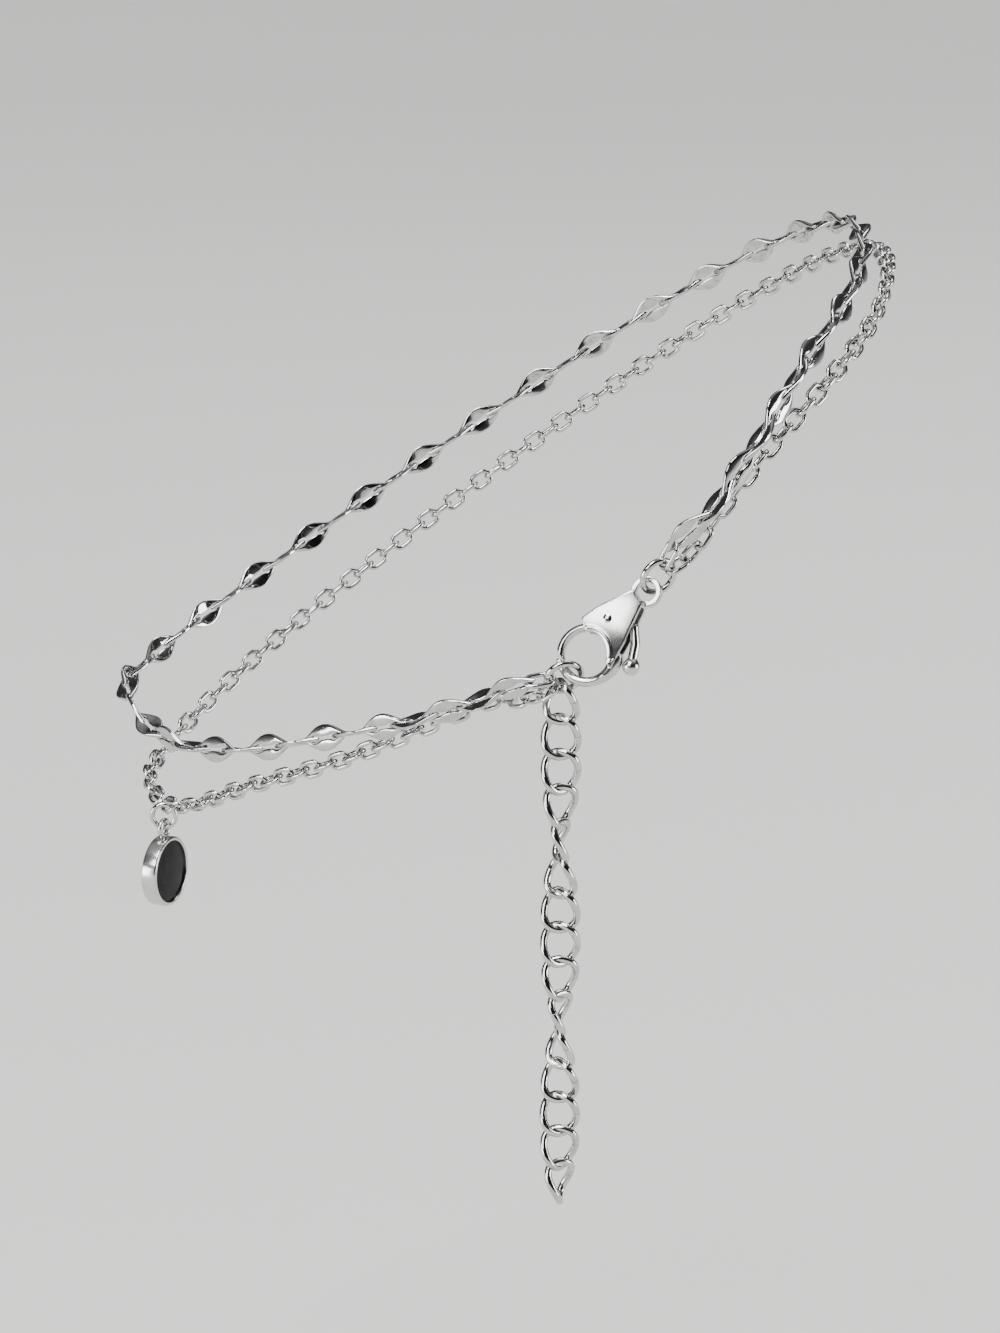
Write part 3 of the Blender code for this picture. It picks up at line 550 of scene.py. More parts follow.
def wire_rings(route, angles, wire, sides):
    """Sections of a round wire along a curve that is given by a function of angle."""
    rings = []
    for angle in angles:
        centre = route(angle)
        direction = (route(angle + SMALL) - route(angle - SMALL)).normalized()
        out = (centre - direction * centre.dot(direction)).normalized()
        rings.append(wire_ring(centre, out, direction.cross(out), wire / 2.0, wire / 2.0, sides))
    return rings


def oval_link(length, width, wire):
    """A flat link with straight sides and round ends, longer along X."""
    bend = (width - wire) / 2.0
    straight = (length - width) / 2.0

    def route(angle):
        side = math.copysign(1.0, math.cos(angle))
        if abs(math.cos(angle)) < SMALL / 2.0:
            side = 0.0
        return Vector((bend * math.cos(angle) + side * straight, bend * math.sin(angle), 0.0))

    angles = [math.tau * section / LINK_SECTIONS for section in range(LINK_SECTIONS)]
    return swept_loop(wire_rings(route, angles, wire, WIRE_SIDES))


# Clasp


def clasp_place():
    """Place of the clasp: origin at the claw's far end, X to the eye, Z out from the oval."""
    height = FAR_LEVEL - DROOP * CLASP_DROP
    centre = oval_point(CLASP_ANGLE, height, CLASP_OUT)
    out = oval_normal(CLASP_ANGLE, height)
    round_oval = OVAL_UP.cross(out)
    along = round_oval * math.cos(CLASP_PITCH) + OVAL_UP * math.sin(CLASP_PITCH)
    level = frame_matrix(centre, along, out)
    tilted = level @ Matrix.Rotation(CLASP_TILT, 4, "X")
    return level, tilted @ Matrix.Translation((-CLASP_LENGTH / 2.0, 0.0, 0.0))


HOOK_X = HOOK_WIRE + HOOK_INNER_RADIUS
HOOK_RADIUS = HOOK_INNER_RADIUS + HOOK_WIRE / 2.0
EYE_X = CLASP_LENGTH - EYE_RADIUS
BODY_BACK = EYE_X - EYE_HOLE_RADIUS


def hook_point(angle, radius):
    return Vector((HOOK_X + radius * math.cos(angle), HOOK_OFFSET + radius * math.sin(angle), 0.0))


def extruded(outline, thickness):
    """A flat plate of an outline in XY, centred on Z."""
    count = len(outline)
    low = [Vector((x, y, -thickness / 2.0)) for x, y in outline]
    high = [Vector((x, y, thickness / 2.0)) for x, y in outline]
    faces = [tuple(range(count)), tuple(range(2 * count - 1, count - 1, -1))]
    for index in range(count):
        after = (index + 1) % count
        faces.append((index, after, count + after, count + index))
    return low + high, faces


def bar(route, sides):
    """A solid bar along a list of (centre, half-width, half-depth), flat in XY, with capped ends."""
    steps = len(route)
    rings = []
    for index in range(steps):
        centre, half_width, half_depth = route[index]
        before = route[max(index - 1, 0)][0]
        after = route[min(index + 1, steps - 1)][0]
        direction = (after - before).normalized()
        across = Vector((-direction.y, direction.x, 0.0))
        rings.append(wire_ring(centre, across, UP, half_width, half_depth, sides))
    return open_tube(rings)


def disc(centre_x, centre_y, radius, thickness, sides):
    angles = [math.tau * (side + 0.5) / sides for side in range(sides)]
    return extruded(arc(centre_x, centre_y, radius, angles), thickness)


def body_outline():
    """The cheeks' outline: a triangle from the hook's round front edge to the neck."""
    angles = angles_between(CHEEK_LOW_ANGLE, CHEEK_HIGH_ANGLE, ARC_STEPS)
    front = [hook_point(angle, HOOK_INNER_RADIUS)[:2] for angle in angles]
    back = HOOK_X + HOOK_RADIUS + HOOK_WIRE
    return front + [
        (front[-1][0] + CHEEK_TOP_LENGTH, CHEEK_TOP),
        (back, CHEEK_BACK_TOP),
        (BODY_BACK, NECK_WIDTH / 2.0),
        (EYE_X, NECK_WIDTH / 2.0),
        (EYE_X, -NECK_WIDTH / 2.0),
        (BODY_BACK, -NECK_WIDTH / 2.0),
        (back, -CHEEK_BACK_BOTTOM),
        (front[0][0], front[0][1] - CHEEK_FOOT),
    ]


def slot_outline():
    """The slot's outline, open above and below, with the claw's root left solid in front."""
    below = HOOK_OFFSET - HOOK_INNER_RADIUS - 2.0 * HOOK_WIRE
    above = CHEEK_TOP + HOOK_WIRE
    back = BODY_BACK - SLOT_BACK_WALL
    return [
        (HOOK_X, HOOK_OFFSET + SLOT_FRONT_HEIGHT),
        (HOOK_X + HOOK_RADIUS, HOOK_OFFSET - SLOT_FLOOR_DEPTH),
        (PIVOT_X - SLOT_TO_PIVOT, below),
        (back, below),
        (back, above),
        (HOOK_X, above),
    ]


def swing_outline(low_radius, high_radius):
    """A band round the pivot across the hook's far end, between two radii."""
    angles = angles_between(SWING_START, SWING_END, ARC_STEPS)
    far_side = arc(PIVOT_X, PIVOT_Y, high_radius, angles)
    return far_side + arc(PIVOT_X, PIVOT_Y, low_radius, angles[::-1])


def claw_route():
    """The fixed claw from inside the cheeks' lower corner round to its tip, thick at its root."""
    tip = HOOK_TIP_ANGLE - math.tau
    route = []
    for step in range(CLAW_STEPS):
        share = step / (CLAW_STEPS - 1)
        thin = blend(0.0, CLAW_TAPER, share)
        width = CLAW_ROOT_WIDTH + (HOOK_WIRE - CLAW_ROOT_WIDTH) * thin
        depth = CLAW_ROOT_DEPTH + (HOOK_WIRE - CLAW_ROOT_DEPTH) * thin
        angle = HOOK_ROOT_ANGLE + (tip - HOOK_ROOT_ANGLE) * share
        route.append((hook_point(angle, HOOK_INNER_RADIUS + width / 2.0), width / 2.0, depth / 2.0))
    return route


def gate_route():
    """The gate from the pivot over the top of the hook to the claw's tip."""
    half = GATE_WIDTH / 2.0
    depth = LEVER_THICKNESS / 2.0
    route = [(PIVOT, GATE_ROOT_WIDTH / 2.0, depth)]
    angles = angles_between(GATE_START_ANGLE, GATE_END_ANGLE, GATE_STEPS - 1)
    return route + [(hook_point(angle, HOOK_RADIUS), half, depth) for angle in angles]


def thumb_route():
    """The thumb arm from the pivot out under the cheeks and back to the knob."""
    elbow = PIVOT + Vector((THUMB_REACH, -THUMB_DROP, 0.0))
    bulge = Vector((THUMB_BULGE, 0.0, 0.0))
    centres = [PIVOT, PIVOT.lerp(elbow, 0.5) + bulge, elbow, elbow.lerp(KNOB, 0.5) + bulge, KNOB]
    return [(centre, THUMB_WIDTH / 2.0, LEVER_THICKNESS / 2.0) for centre in centres]


def eye_relief():
    """What is cut from both faces of the neck so that the eye is thinner than the cheeks."""
    start = BODY_BACK + EYE_STEP
    end = CLASP_LENGTH + EYE_RADIUS
    side = EYE_RADIUS * 2.0
    plate = extruded([(start, -side), (end, -side), (end, side), (start, side)], CLASP_THICKNESS)
    shift = UP * ((CLASP_THICKNESS + EYE_THICKNESS) / 2.0)
    return joined([placed(plate, Matrix.Translation(move)) for move in (shift, -shift)])


# Rings on the clasp


RING_RADIUS = (RING_OUTER - RING_WIRE) / 2.0


def ring_places(level, place):
    """Places of the clasp ring and the end ring, X along the loop and Z the ring's own axis."""
    basis = level.to_3x3()
    out = basis @ UP
    eye = place @ Vector((EYE_X, 0.0, 0.0))
    away = basis @ spoke(CLASP_RING_TURN)
    clasp_ring = frame_matrix(eye + away * (RING_RADIUS + EYE_PLAY), away, out)
    clasp_ring = clasp_ring @ Matrix.Rotation(RING_TILT, 4, "X")

    reach = HOOK_INNER_RADIUS - RING_WIRE / 2.0 - HOOK_PLAY
    seat = place @ hook_point(END_RING_SEAT, reach)
    away = basis @ -spoke(END_RING_TURN)
    end_ring = frame_matrix(seat + away * RING_RADIUS, away, out)
    end_ring = end_ring @ Matrix.Rotation(-RING_TILT, 4, "X")
    return clasp_ring, end_ring


def seat_on(ring, angle):
    return ring @ (spoke(angle) * RING_RADIUS)


def half_turn(angle):
    """The same turn of a flat link by less than a quarter either way."""
    return (angle + math.pi / 2.0) % math.pi - math.pi / 2.0


def roll_along(place, wire):
    """Roll of a link at a place that turns its hole along a wire's direction."""
    local = place.to_3x3().inverted() @ wire
    return half_turn(math.atan2(-local.y, local.z))


def seat_roll(place, ring):
    """Roll of a link at a place that turns its hole along the wire of the ring it hangs on."""
    spoke = place.translation - ring.translation
    axis = ring.to_3x3() @ UP
    return roll_along(place, axis.cross(spoke))


def rolls_along(places, clasp_ring, end_ring):
    """Quarter turns from link to link, eased near each ring into the turn that its seat asks for."""
    last = len(places) - 1
    first_shift = seat_roll(places[0], clasp_ring) - math.pi / 2.0
    quarter = math.pi / 2.0 * ((last + 1) % 2)
    last_shift = seat_roll(places[last], end_ring) - quarter
    rolls = []
    for index in range(len(places)):
        near_clasp = max(1.0 - index / ROLL_LINKS, 0.0)
        near_end = max(1.0 - (last - index) / ROLL_LINKS, 0.0)
        quarter = math.pi / 2.0 * ((index + 1) % 2)
        rolls.append(quarter + half_turn(first_shift) * near_clasp + half_turn(last_shift) * near_end)
    return rolls


def lip_links(path, clasp_ring, end_ring):
    """An oval link on each ring and lip links between them, each a quarter turn on from the last."""
    inner_half = LIP_LENGTH / 2.0 - LIP_TIP
    end_half = END_LINK_LENGTH / 2.0 - CABLE_WIRE
    hold = end_half - RING_WIRE / 2.0 - RING_CLEARANCE
    end_step = end_half + inner_half + FUSE_DEPTH
    nominal = 2.0 * inner_half + FUSE_DEPTH
    run = path.total - 2.0 * (hold + end_step)
    count = round(run / nominal) + 1
    pitch = run / (count - 1)
    link = lip_link(LIP_LENGTH + (pitch - nominal))
    end_link = oval_link(END_LINK_LENGTH, CABLE_WIDTH, CABLE_WIRE)
    places = [path.frame(hold, end_half * LINK_REACH)]
    for index in range(count):
        places.append(path.frame(hold + end_step + index * pitch, inner_half * LINK_REACH))
    places.append(path.frame(path.total - hold, end_half * LINK_REACH))
    parts = [end_link] + [link] * count + [end_link]
    rolls = rolls_along(places, clasp_ring, end_ring)
    draw = random.Random(SEED)
    links = []
    for index, (part, place, roll) in enumerate(zip(parts, places, rolls)):
        way = index / (len(places) - 1)
        lean = blend(LIP_LEAN_START, LIP_LEAN_FULL, way)
        lean *= 1.0 - blend(LIP_LEAN_EASE, LIP_LEAN_END, way)
        loose = min(index, len(places) - 1 - index, 1)
        roll += LIP_LEAN * lean + LIP_JITTER * draw.uniform(-1.0, 1.0) * loose
        links.append(placed(part, place @ Matrix.Rotation(roll, 4, "X")))
    return links


# Extender and charm


def lowest_wire(ring, radius):
    """The lowest point of a ring's wire, whose ring lies in XY of its place."""
    down = ring.to_3x3().inverted() @ DOWN
    return ring @ (Vector((down.x, down.y, 0.0)).normalized() * radius)


def extender_links(ring):
    """Curb links hanging straight down from the end ring's lowest wire."""
    lowest = lowest_wire(ring, RING_RADIUS)
    inner_half = CURB_LENGTH / 2.0 - CURB_WIRE
    count = round((EXTENDER_LENGTH - CURB_LENGTH) / CURB_PITCH) + 1
    pitch = (EXTENDER_LENGTH - CURB_LENGTH) / (count - 1)
    link = curb_link(CURB_LENGTH + pitch - CURB_PITCH, CURB_WIDTH, CURB_WIRE, CURB_TWIST)
    first = lowest + DOWN * (inner_half - RING_WIRE / 2.0 - CURB_PLAY)
    links = []
    for index in range(count):
        turn = CURB_TURN_START + CURB_TURN * index
        turn -= CURB_DWELL * math.sin(2.0 * turn)
        place = Matrix.Translation(first + DOWN * (pitch * index)) @ Matrix.Rotation(turn, 4, "Z")
        links.append(placed(link, place @ Matrix.Rotation(math.pi / 2.0, 4, "X")))
    return links


# Finer shapes for the render


def bent_wire(route, radius, seam_angle, wire, sections, sides):
    """A round wire bent into a closed curve, whose two ends meet in a fine seam."""
    half_gap = SEAM / radius / 2.0
    start = seam_angle + half_gap
    sweep = math.tau - 2.0 * half_gap
    angles = [start + sweep * section / sections for section in range(sections + 1)]
    return open_tube(wire_rings(route, angles, wire, sides))


def jump_ring(outer, wire):
    radius = (outer - wire) / 2.0
    return bent_wire(lambda angle: spoke(angle) * radius,
                     radius, RING_SEAM_ANGLE, wire, RING_SECTIONS, RING_SIDES)


def blend(start, end, value):
    share = min(max((value - start) / (end - start), 0.0), 1.0)
    return share * share * (3.0 - 2.0 * share)


def lip_link(length):
    """A stamped link: pointed ends, a smooth thin plate on each side, a slot and two end holes."""
    half = length / 2.0
    hole_end = half - LIP_TIP
    rings = []
    for section in range(LIP_SECTIONS):
        angle = math.tau * section / LIP_SECTIONS
        across = math.sin(angle)
        along = math.cos(angle)
        share = abs(along)
        side = math.copysign(1.0, across) if abs(across) > SMALL / 2.0 else 0.0
        swell = max(1.0 - share * share, 0.0)
        width = math.sqrt(swell) * (LIP_TIP_WIDTH + (1.0 - LIP_TIP_WIDTH) * swell ** LIP_OUTER_POWER)
        outer = Vector((half * along, side * LIP_WIDTH / 2.0 * width, 0.0))
        open_share = blend(LIP_SLOT_END, LIP_HOLE_START, share)
        slot = LIP_SLOT + (LIP_HOLE - LIP_SLOT) * open_share
        slot *= math.sqrt(max(1.0 - share ** LIP_HOLE_ROUND, 0.0))
        inner = Vector((hole_end * along, side * slot / 2.0, 0.0))
        wire_share = blend(LIP_WIRE_START, LIP_WIRE_FULL, share)
        thickness = LIP_PLATE_THICKNESS + (LIP_THICKNESS - LIP_PLATE_THICKNESS) * wire_share
        square = LIP_PLATE_SQUARE + (LIP_TIP_SQUARE - LIP_PLATE_SQUARE) * wire_share
        middle = (inner + outer) / 2.0
        reach = (outer - inner) / 2.0
        ring = []
        for step in range(LIP_PROFILE):
            turn = math.tau * (step + 0.5) / LIP_PROFILE
            wide = math.copysign(abs(math.cos(turn)) ** (2.0 / square), math.cos(turn))
            thick = math.copysign(abs(math.sin(turn)) ** (2.0 / square), math.sin(turn))
            point = middle + reach * wide
            dome = LIP_DOME * (1.0 - (2.0 * point.y / LIP_WIDTH) ** 2) * (1.0 - wire_share)
            point.z = thickness / 2.0 * thick + dome
            ring.append(point)
        rings.append(ring)
    return swept_loop(rings)


def curb_link(length, width, wire, twist):
    """A bent link longer along Y, whose two sides are twisted out of its plane as in a curb chain."""
    half_width = (width - wire) / 2.0
    half_length = (length - wire) / 2.0

    def route(angle):
        across = half_width * math.cos(angle)
        along = half_length * math.sin(angle)
        return Vector((across, along, twist * math.sin(2.0 * angle)))

    return bent_wire(route, half_width, CURB_SEAM_ANGLE, wire, CURB_SECTIONS, CURB_SIDES)


def cable_links(path, clasp_ring, end_ring):
    """Every oval link of the lower strand, and the place of the one that holds the charm's ring."""
    half_hole = CABLE_LENGTH / 2.0 - CABLE_WIRE
    hold = half_hole - RING_WIRE / 2.0 - RING_CLEARANCE
    run = path.total - 2.0 * hold
    count = round(run / (2.0 * half_hole)) + 1
    pitch = run / (count - 1)
    charm_index = round((CHARM_WAY * path.total - hold) / pitch)
    places = [path.frame(hold + index * pitch, half_hole * LINK_REACH) for index in range(count)]
    last = count - 1
    wanted = (
        (0, seat_roll(places[0], clasp_ring)),
        (charm_index, roll_along(places[charm_index], CHARM_RING_LEAN_TO.cross(OVAL_ACROSS))),
        (last, seat_roll(places[last], end_ring)),
    )
    link = oval_link(CABLE_LENGTH, CABLE_WIDTH, CABLE_WIRE)
    draw = random.Random(SEED)
    parts = []
    for index, place in enumerate(places):
        roll = math.pi / 2.0 * (index % 2)
        loose = 1.0
        for fixed, turn in wanted:
            near = max(1.0 - abs(index - fixed) / ROLL_LINKS, 0.0)
            roll += half_turn(turn - math.pi / 2.0 * (fixed % 2)) * near
            loose = min(loose, 1.0 - near)
        roll += CABLE_JITTER * draw.uniform(-1.0, 1.0) * loose
        parts.append(placed(link, place @ Matrix.Rotation(roll, 4, "X")))
    return parts, places[charm_index]


def add_piece(name, mesh, matrix, material, body, nodes):
    piece = add_object(name, mesh, material)
    mesh.transform(matrix)
    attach(piece, body)
    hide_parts(*nodes)
    return piece


def cast_mesh(name, base, steps):
    """One smooth mesh from a base and Boolean steps, with its edges rounded as a casting's are."""
    in_millimetres = Matrix.Scale(1.0 / MM, 4)
    obj = add_object(name, mesh_from(name, [placed(base, in_millimetres)]))
    tools = []
    for part, operation in steps:
        tool = add_object("tool", mesh_from("tool", [placed(part, in_millimetres)]))
        cast = obj.modifiers.new("cast", "BOOLEAN")
        cast.operation = operation
        cast.solver = "EXACT"
        cast.object = tool
        tools.append(tool)
    remesh = obj.modifiers.new("remesh", "REMESH")
    remesh.mode = "VOXEL"
    remesh.voxel_size = CAST_VOXEL / MM
    soften = obj.modifiers.new("soften", "SMOOTH")
    soften.factor = CAST_SMOOTH_FACTOR
    soften.iterations = CAST_SMOOTHING
    result = bpy.data.meshes.new_from_object(obj.evaluated_get(bpy.context.evaluated_depsgraph_get()))
    for extra in tools + [obj]:
        bpy.data.objects.remove(extra, do_unlink=True)
    result.transform(Matrix.Scale(MM, 4))
    result.shade_smooth()
    return result


def front_bead(side):
    """The rounded front edge of one cheek, along the inside of the hook."""
    centre_height = side * (CLASP_THICKNESS / 2.0 - BEAD_RADIUS * BEAD_DEPTH)
    route = []
    for angle in angles_between(BEAD_LOW_ANGLE, BEAD_HIGH_ANGLE, ARC_STEPS):
        centre = hook_point(angle, HOOK_INNER_RADIUS + BEAD_RADIUS) + Vector((0.0, 0.0, centre_height))
        route.append((centre, BEAD_RADIUS, BEAD_RADIUS))
    return bar(route, BAR_SIDES)


def pin_head(side):
    """A low domed head of the pin on one cheek."""
    rise = crown(PIN_HEAD_RADIUS, CLASP_THICKNESS / 2.0, PIN_HEAD_HEIGHT, PIN_HEAD_STEPS)
    foot = PIN_HEAD_FOOT * CLASP_THICKNESS / 2.0
    profile = rise + [(PIN_HEAD_RADIUS, foot), (0.0, foot)]
    points, faces = turned(profile, HOLE_SIDES)
    return [Vector((PIVOT_X + point.x, PIVOT_Y + point.y, side * point.z)) for point in points], faces


def body_steps():
    tip_radius = GATE_REACH + GATE_GAP
    return [
        (front_bead(1.0), "UNION"),
        (front_bead(-1.0), "UNION"),
        (eye_relief(), "DIFFERENCE"),
        (extruded(slot_outline(), LEVER_THICKNESS + 2.0 * LEVER_CLEARANCE), "DIFFERENCE"),
        (bar(claw_route(), BAR_SIDES), "UNION"),
        (extruded(swing_outline(tip_radius - HOOK_WIRE, tip_radius), CLASP_THICKNESS), "DIFFERENCE"),
        (disc(EYE_X, 0.0, EYE_RADIUS, EYE_THICKNESS, EYE_SIDES), "UNION"),
        (disc(EYE_X, 0.0, EYE_HOLE_RADIUS, CLASP_THICKNESS, HOLE_SIDES), "DIFFERENCE"),
        (disc(PIVOT_X, PIVOT_Y, PIN_RADIUS, CLASP_THICKNESS, HOLE_SIDES), "UNION"),
    ]


def lever_steps():
    wide = 2.0 * LEVER_THICKNESS
    knob = turned(rounding(0.0, 0.0, KNOB_RADIUS, 90.0, -90.0, KNOB_ROWS), KNOB_COLUMNS)
    return [
        (bar(gate_route(), BAR_SIDES), "UNION"),
        (bar(thumb_route(), BAR_SIDES), "UNION"),
        (placed(knob, Matrix.Translation(KNOB)), "UNION"),
        (extruded(swing_outline(GATE_REACH, GATE_REACH + 2.0 * HOOK_WIRE), wide), "DIFFERENCE"),
        (disc(PIVOT_X, PIVOT_Y, PIN_RADIUS + LEVER_CLEARANCE, wide, HOLE_SIDES), "DIFFERENCE"),
    ]


def thin_cheeks(mesh):
    """Dome the cheeks: thinner towards their outline, with the slot's walls left where they are."""
    wall = LEVER_THICKNESS / 2.0 + LEVER_CLEARANCE
    for vertex in mesh.vertices:
        height = abs(vertex.co.z) - wall
        if height <= 0.0:
            continue
        far_x = vertex.co.x - CHEEK_CENTRE[0]
        far_y = vertex.co.y - CHEEK_CENTRE[1]
        far = min(math.hypot(far_x, far_y) / CHEEK_SPREAD, 1.0)
        vertex.co.z = math.copysign(wall + height * (1.0 - CHEEK_THINNING * far * far), vertex.co.z)


def add_heads(mesh):
    """Join both pin heads to the casting's mesh."""
    work = bmesh.new()
    work.from_mesh(mesh)
    for side in (1.0, -1.0):
        head = mesh_from("pin_head", [pin_head(side)])
        work.from_mesh(head)
        bpy.data.meshes.remove(head)
    work.to_mesh(mesh)
    work.free()


def turned(profile, sides):
    """A solid turned round Z from a profile of (radius, height) that starts and ends on the axis."""
    rows = profile[1:-1]
    points = [Vector((0.0, 0.0, profile[0][1])), Vector((0.0, 0.0, profile[-1][1]))]
    for radius, height in rows:
        for side in range(sides):
            angle = math.tau * side / sides
            points.append(Vector((radius * math.cos(angle), radius * math.sin(angle), height)))
    last = 2 + (len(rows) - 1) * sides
    faces = []
    for side in range(sides):
        beside = (side + 1) % sides
        faces.append((0, 2 + side, 2 + beside))
        faces.append((1, last + beside, last + side))
        for row in range(len(rows) - 1):
            start = 2 + row * sides
            after = start + sides
            faces.append((start + side, after + side, after + beside, start + beside))
    return points, faces


def crown(radius, height, rise, steps):
    """Profile points over a low crown, from its middle to its edge."""
    return [(radius * step / steps, height + rise * (1.0 - (step / steps) ** 2))
            for step in range(steps + 1)]


def charm_profile():
    """The disc's profile from the middle of its plain side round to the middle of its dished side.

    The plain side faces -Z and the dished side +Z.
    """
    half = CHARM_THICKNESS / 2.0
    radius = CHARM_DIAMETER / 2.0
    edge = CHARM_EDGE_ROUND
    rim = CHARM_RIM_ROUND
    dish = radius - CHARM_RIM_WIDTH
    floor = half - CHARM_RIM
    plain = crown(radius - edge, -half, 0.0, CHARM_BACK_STEPS)
    plain_edge = rounding(radius - edge, -half + edge, edge, -90.0, 0.0, CHARM_EDGE_STEPS)[1:]
    dished_edge = rounding(radius - edge, half - edge, edge, 0.0, 90.0, CHARM_EDGE_STEPS)
    inner_edge = rounding(dish + rim, half - rim, rim, 90.0, 180.0, CHARM_RIM_STEPS)
    face = crown(dish, floor, CHARM_CROWN, CHARM_FACE_STEPS)[::-1]
    return plain + plain_edge + dished_edge + inner_edge + face


def charm_mesh():
    """The disc with its loop, in the charm's own place: X down, Z through the disc."""
    loop_radius = (CHARM_LOOP_OUTER - CHARM_LOOP_WIRE) / 2.0
    loop_drop = loop_radius - CHARM_LOOP_WIRE / 2.0 - CHARM_RING_WIRE / 2.0 - RING_CLEARANCE
    disc_drop = loop_drop + CHARM_LOOP_OUTER / 2.0 - CHARM_LOOP_SINK + CHARM_DIAMETER / 2.0
    plate = turned(charm_profile(), DISC_SIDES)
    plate = placed(plate, Matrix.Translation((disc_drop, 0.0, 0.0)))
    loop = jump_ring(CHARM_LOOP_OUTER, CHARM_LOOP_WIRE)
    loop = placed(loop, Matrix.Translation((loop_drop, 0.0, 0.0)))
    mesh = mesh_from("charm_disc", [plate, loop])
    face_radius = CHARM_DIAMETER / 2.0 - CHARM_RIM_WIDTH - CHARM_RIM_ROUND / 2.0
    # The dish's floor gets the second material, which paints a dark reflection and shade on the face
    for face in mesh.polygons:
        far = math.hypot(face.center.x - disc_drop, face.center.y)
        if far < face_radius and face.center.z > 0.0:
            face.material_index = 1
    return mesh


# Materials


# Polished surfaces: metallic, dark and light tone, smoothest and roughest gloss, depth of scratches
FINISHES = {
    "chain_steel": (1.0, (0.44, 0.437, 0.427), (0.56, 0.56, 0.556), 0.07, 0.16, 1.2e-6),
    "plate_steel": (1.0, (0.44, 0.44, 0.433), (0.54, 0.54, 0.538), 0.05, 0.12, 1.0e-6),
    "cast_steel": (1.0, (0.49, 0.485, 0.47), (0.56, 0.56, 0.555), 0.15, 0.20, 1.0e-6),
    # The charm's dished face is painted near-black: a painted dark reflection and shade standing in
    # for what its polished steel face shows beside it, not a colour of its own
    "charm_face_painted_reflection": (0.0, (0.004, 0.004, 0.004), (0.010, 0.010, 0.011), 0.06, 0.12, 1.0e-6),
}
# Specular of the charm's face, turned down so that its painted dark reflection doesn't show the lights
# and the floor
CHARM_FACE_SPECULAR = 0.06

# The noise on them, each with its scale per metre and its detail
TONE_NOISE = (900.0, 3.0)
TONE_RANGE = (0.34, 0.62)
GLOSS_NOISE = (2600.0, 4.0)
GLOSS_RANGE = (0.3, 0.7)
SCRATCH_NOISE = (3200.0, 5.0)
SCRATCH_STRETCH = (1.0, 1.0, 9.0)
SCRATCH_TURN = (0.5, 0.35, 0.2)
SCRATCH_STRENGTH = 0.35

FLOOR_ROUGHNESS = 0.7
FLOOR_DARK = (0.70, 0.695, 0.68)
FLOOR_LIGHT = (0.76, 0.755, 0.74)
FLOOR_NOISE = (2.0, 2.0)
FLOOR_RANGE = (0.0, 1.0)


def noise(tree, source, scale, detail):
    made = tree.nodes.new("ShaderNodeTexNoise")
    made.inputs["Scale"].default_value = scale
    made.inputs["Detail"].default_value = detail
    tree.links.new(source, made.inputs["Vector"])
    return made.outputs["Fac"]


def spread(tree, source, start, end, low, high):
    """A node that takes a value from one range to another."""
    made = tree.nodes.new("ShaderNodeMapRange")
    for name, limit in (("From Min", start), ("From Max", end), ("To Min", low), ("To Max", high)):
        made.inputs[name].default_value = limit
    tree.links.new(source, made.inputs["Value"])
    return made


def toned_material(name, dark, light, tone_noise, tone_range):
    """A material whose colour drifts between two tones, with its tree and the place on its object."""
    material = bpy.data.materials.new(name)
    material.use_nodes = True
    tree = material.node_tree
    place = tree.nodes.new("ShaderNodeTexCoord").outputs["Object"]
    tone = tree.nodes.new("ShaderNodeValToRGB")
    for element, position, colour in zip(tone.color_ramp.elements, tone_range, (dark, light)):
        element.position = position
        element.color = (*colour, 1.0)
    tree.links.new(noise(tree, place, *tone_noise), tone.inputs["Fac"])
    tree.links.new(tone.outputs["Color"], tree.nodes["Principled BSDF"].inputs["Base Color"])
    return material, tree, place


def polished_material(name):
    """A polished surface: uneven tone, cloudy gloss and fine drawn scratches."""
    metallic, dark, light, smooth, rough, scratch_depth = FINISHES[name]
    material, tree, place = toned_material(name, dark, light, TONE_NOISE, TONE_RANGE)
    shader = tree.nodes["Principled BSDF"]
    shader.inputs["Metallic"].default_value = metallic
    gloss = spread(tree, noise(tree, place, *GLOSS_NOISE), *GLOSS_RANGE, smooth, rough)
    tree.links.new(gloss.outputs["Result"], shader.inputs["Roughness"])
    drawn = tree.nodes.new("ShaderNodeMapping")
    drawn.inputs["Scale"].default_value = SCRATCH_STRETCH
    drawn.inputs["Rotation"].default_value = SCRATCH_TURN
    tree.links.new(place, drawn.inputs["Vector"])
    bump = tree.nodes.new("ShaderNodeBump")
    bump.inputs["Strength"].default_value = SCRATCH_STRENGTH
    bump.inputs["Distance"].default_value = scratch_depth
    tree.links.new(noise(tree, drawn.outputs["Vector"], *SCRATCH_NOISE), bump.inputs["Height"])
    tree.links.new(bump.outputs["Normal"], shader.inputs["Normal"])
    return material


def floor_material():
    material, tree, _ = toned_material("floor", FLOOR_DARK, FLOOR_LIGHT, FLOOR_NOISE, FLOOR_RANGE)
    tree.nodes["Principled BSDF"].inputs["Roughness"].default_value = FLOOR_ROUGHNESS
    return material


# Studio


FLOOR_LEVEL = -104.0 * MM
FLOOR_RADIUS = 40.0
CAMERA_DISTANCE = 0.4
CAMERA_AZIMUTH = math.radians(4.0)
CAMERA_ELEVATION = math.radians(13.0)
CAMERA_LENS = 112.0
CAMERA_NEAR = 10.0 * MM

# Soft lights: name, place, size across, size up, power in watts
LIGHTS = (
    ("key", (-0.48, -0.70, 0.58), 0.50, 0.32, 5.0),
    ("top", (0.30, 0.45, 0.85), 0.70, 0.30, 4.0),
    ("left", (-0.80, -0.45, 0.03), 0.46, 0.40, 6.0),
    ("right", (0.82, -0.12, 0.10), 0.34, 0.40, 4.5),
)

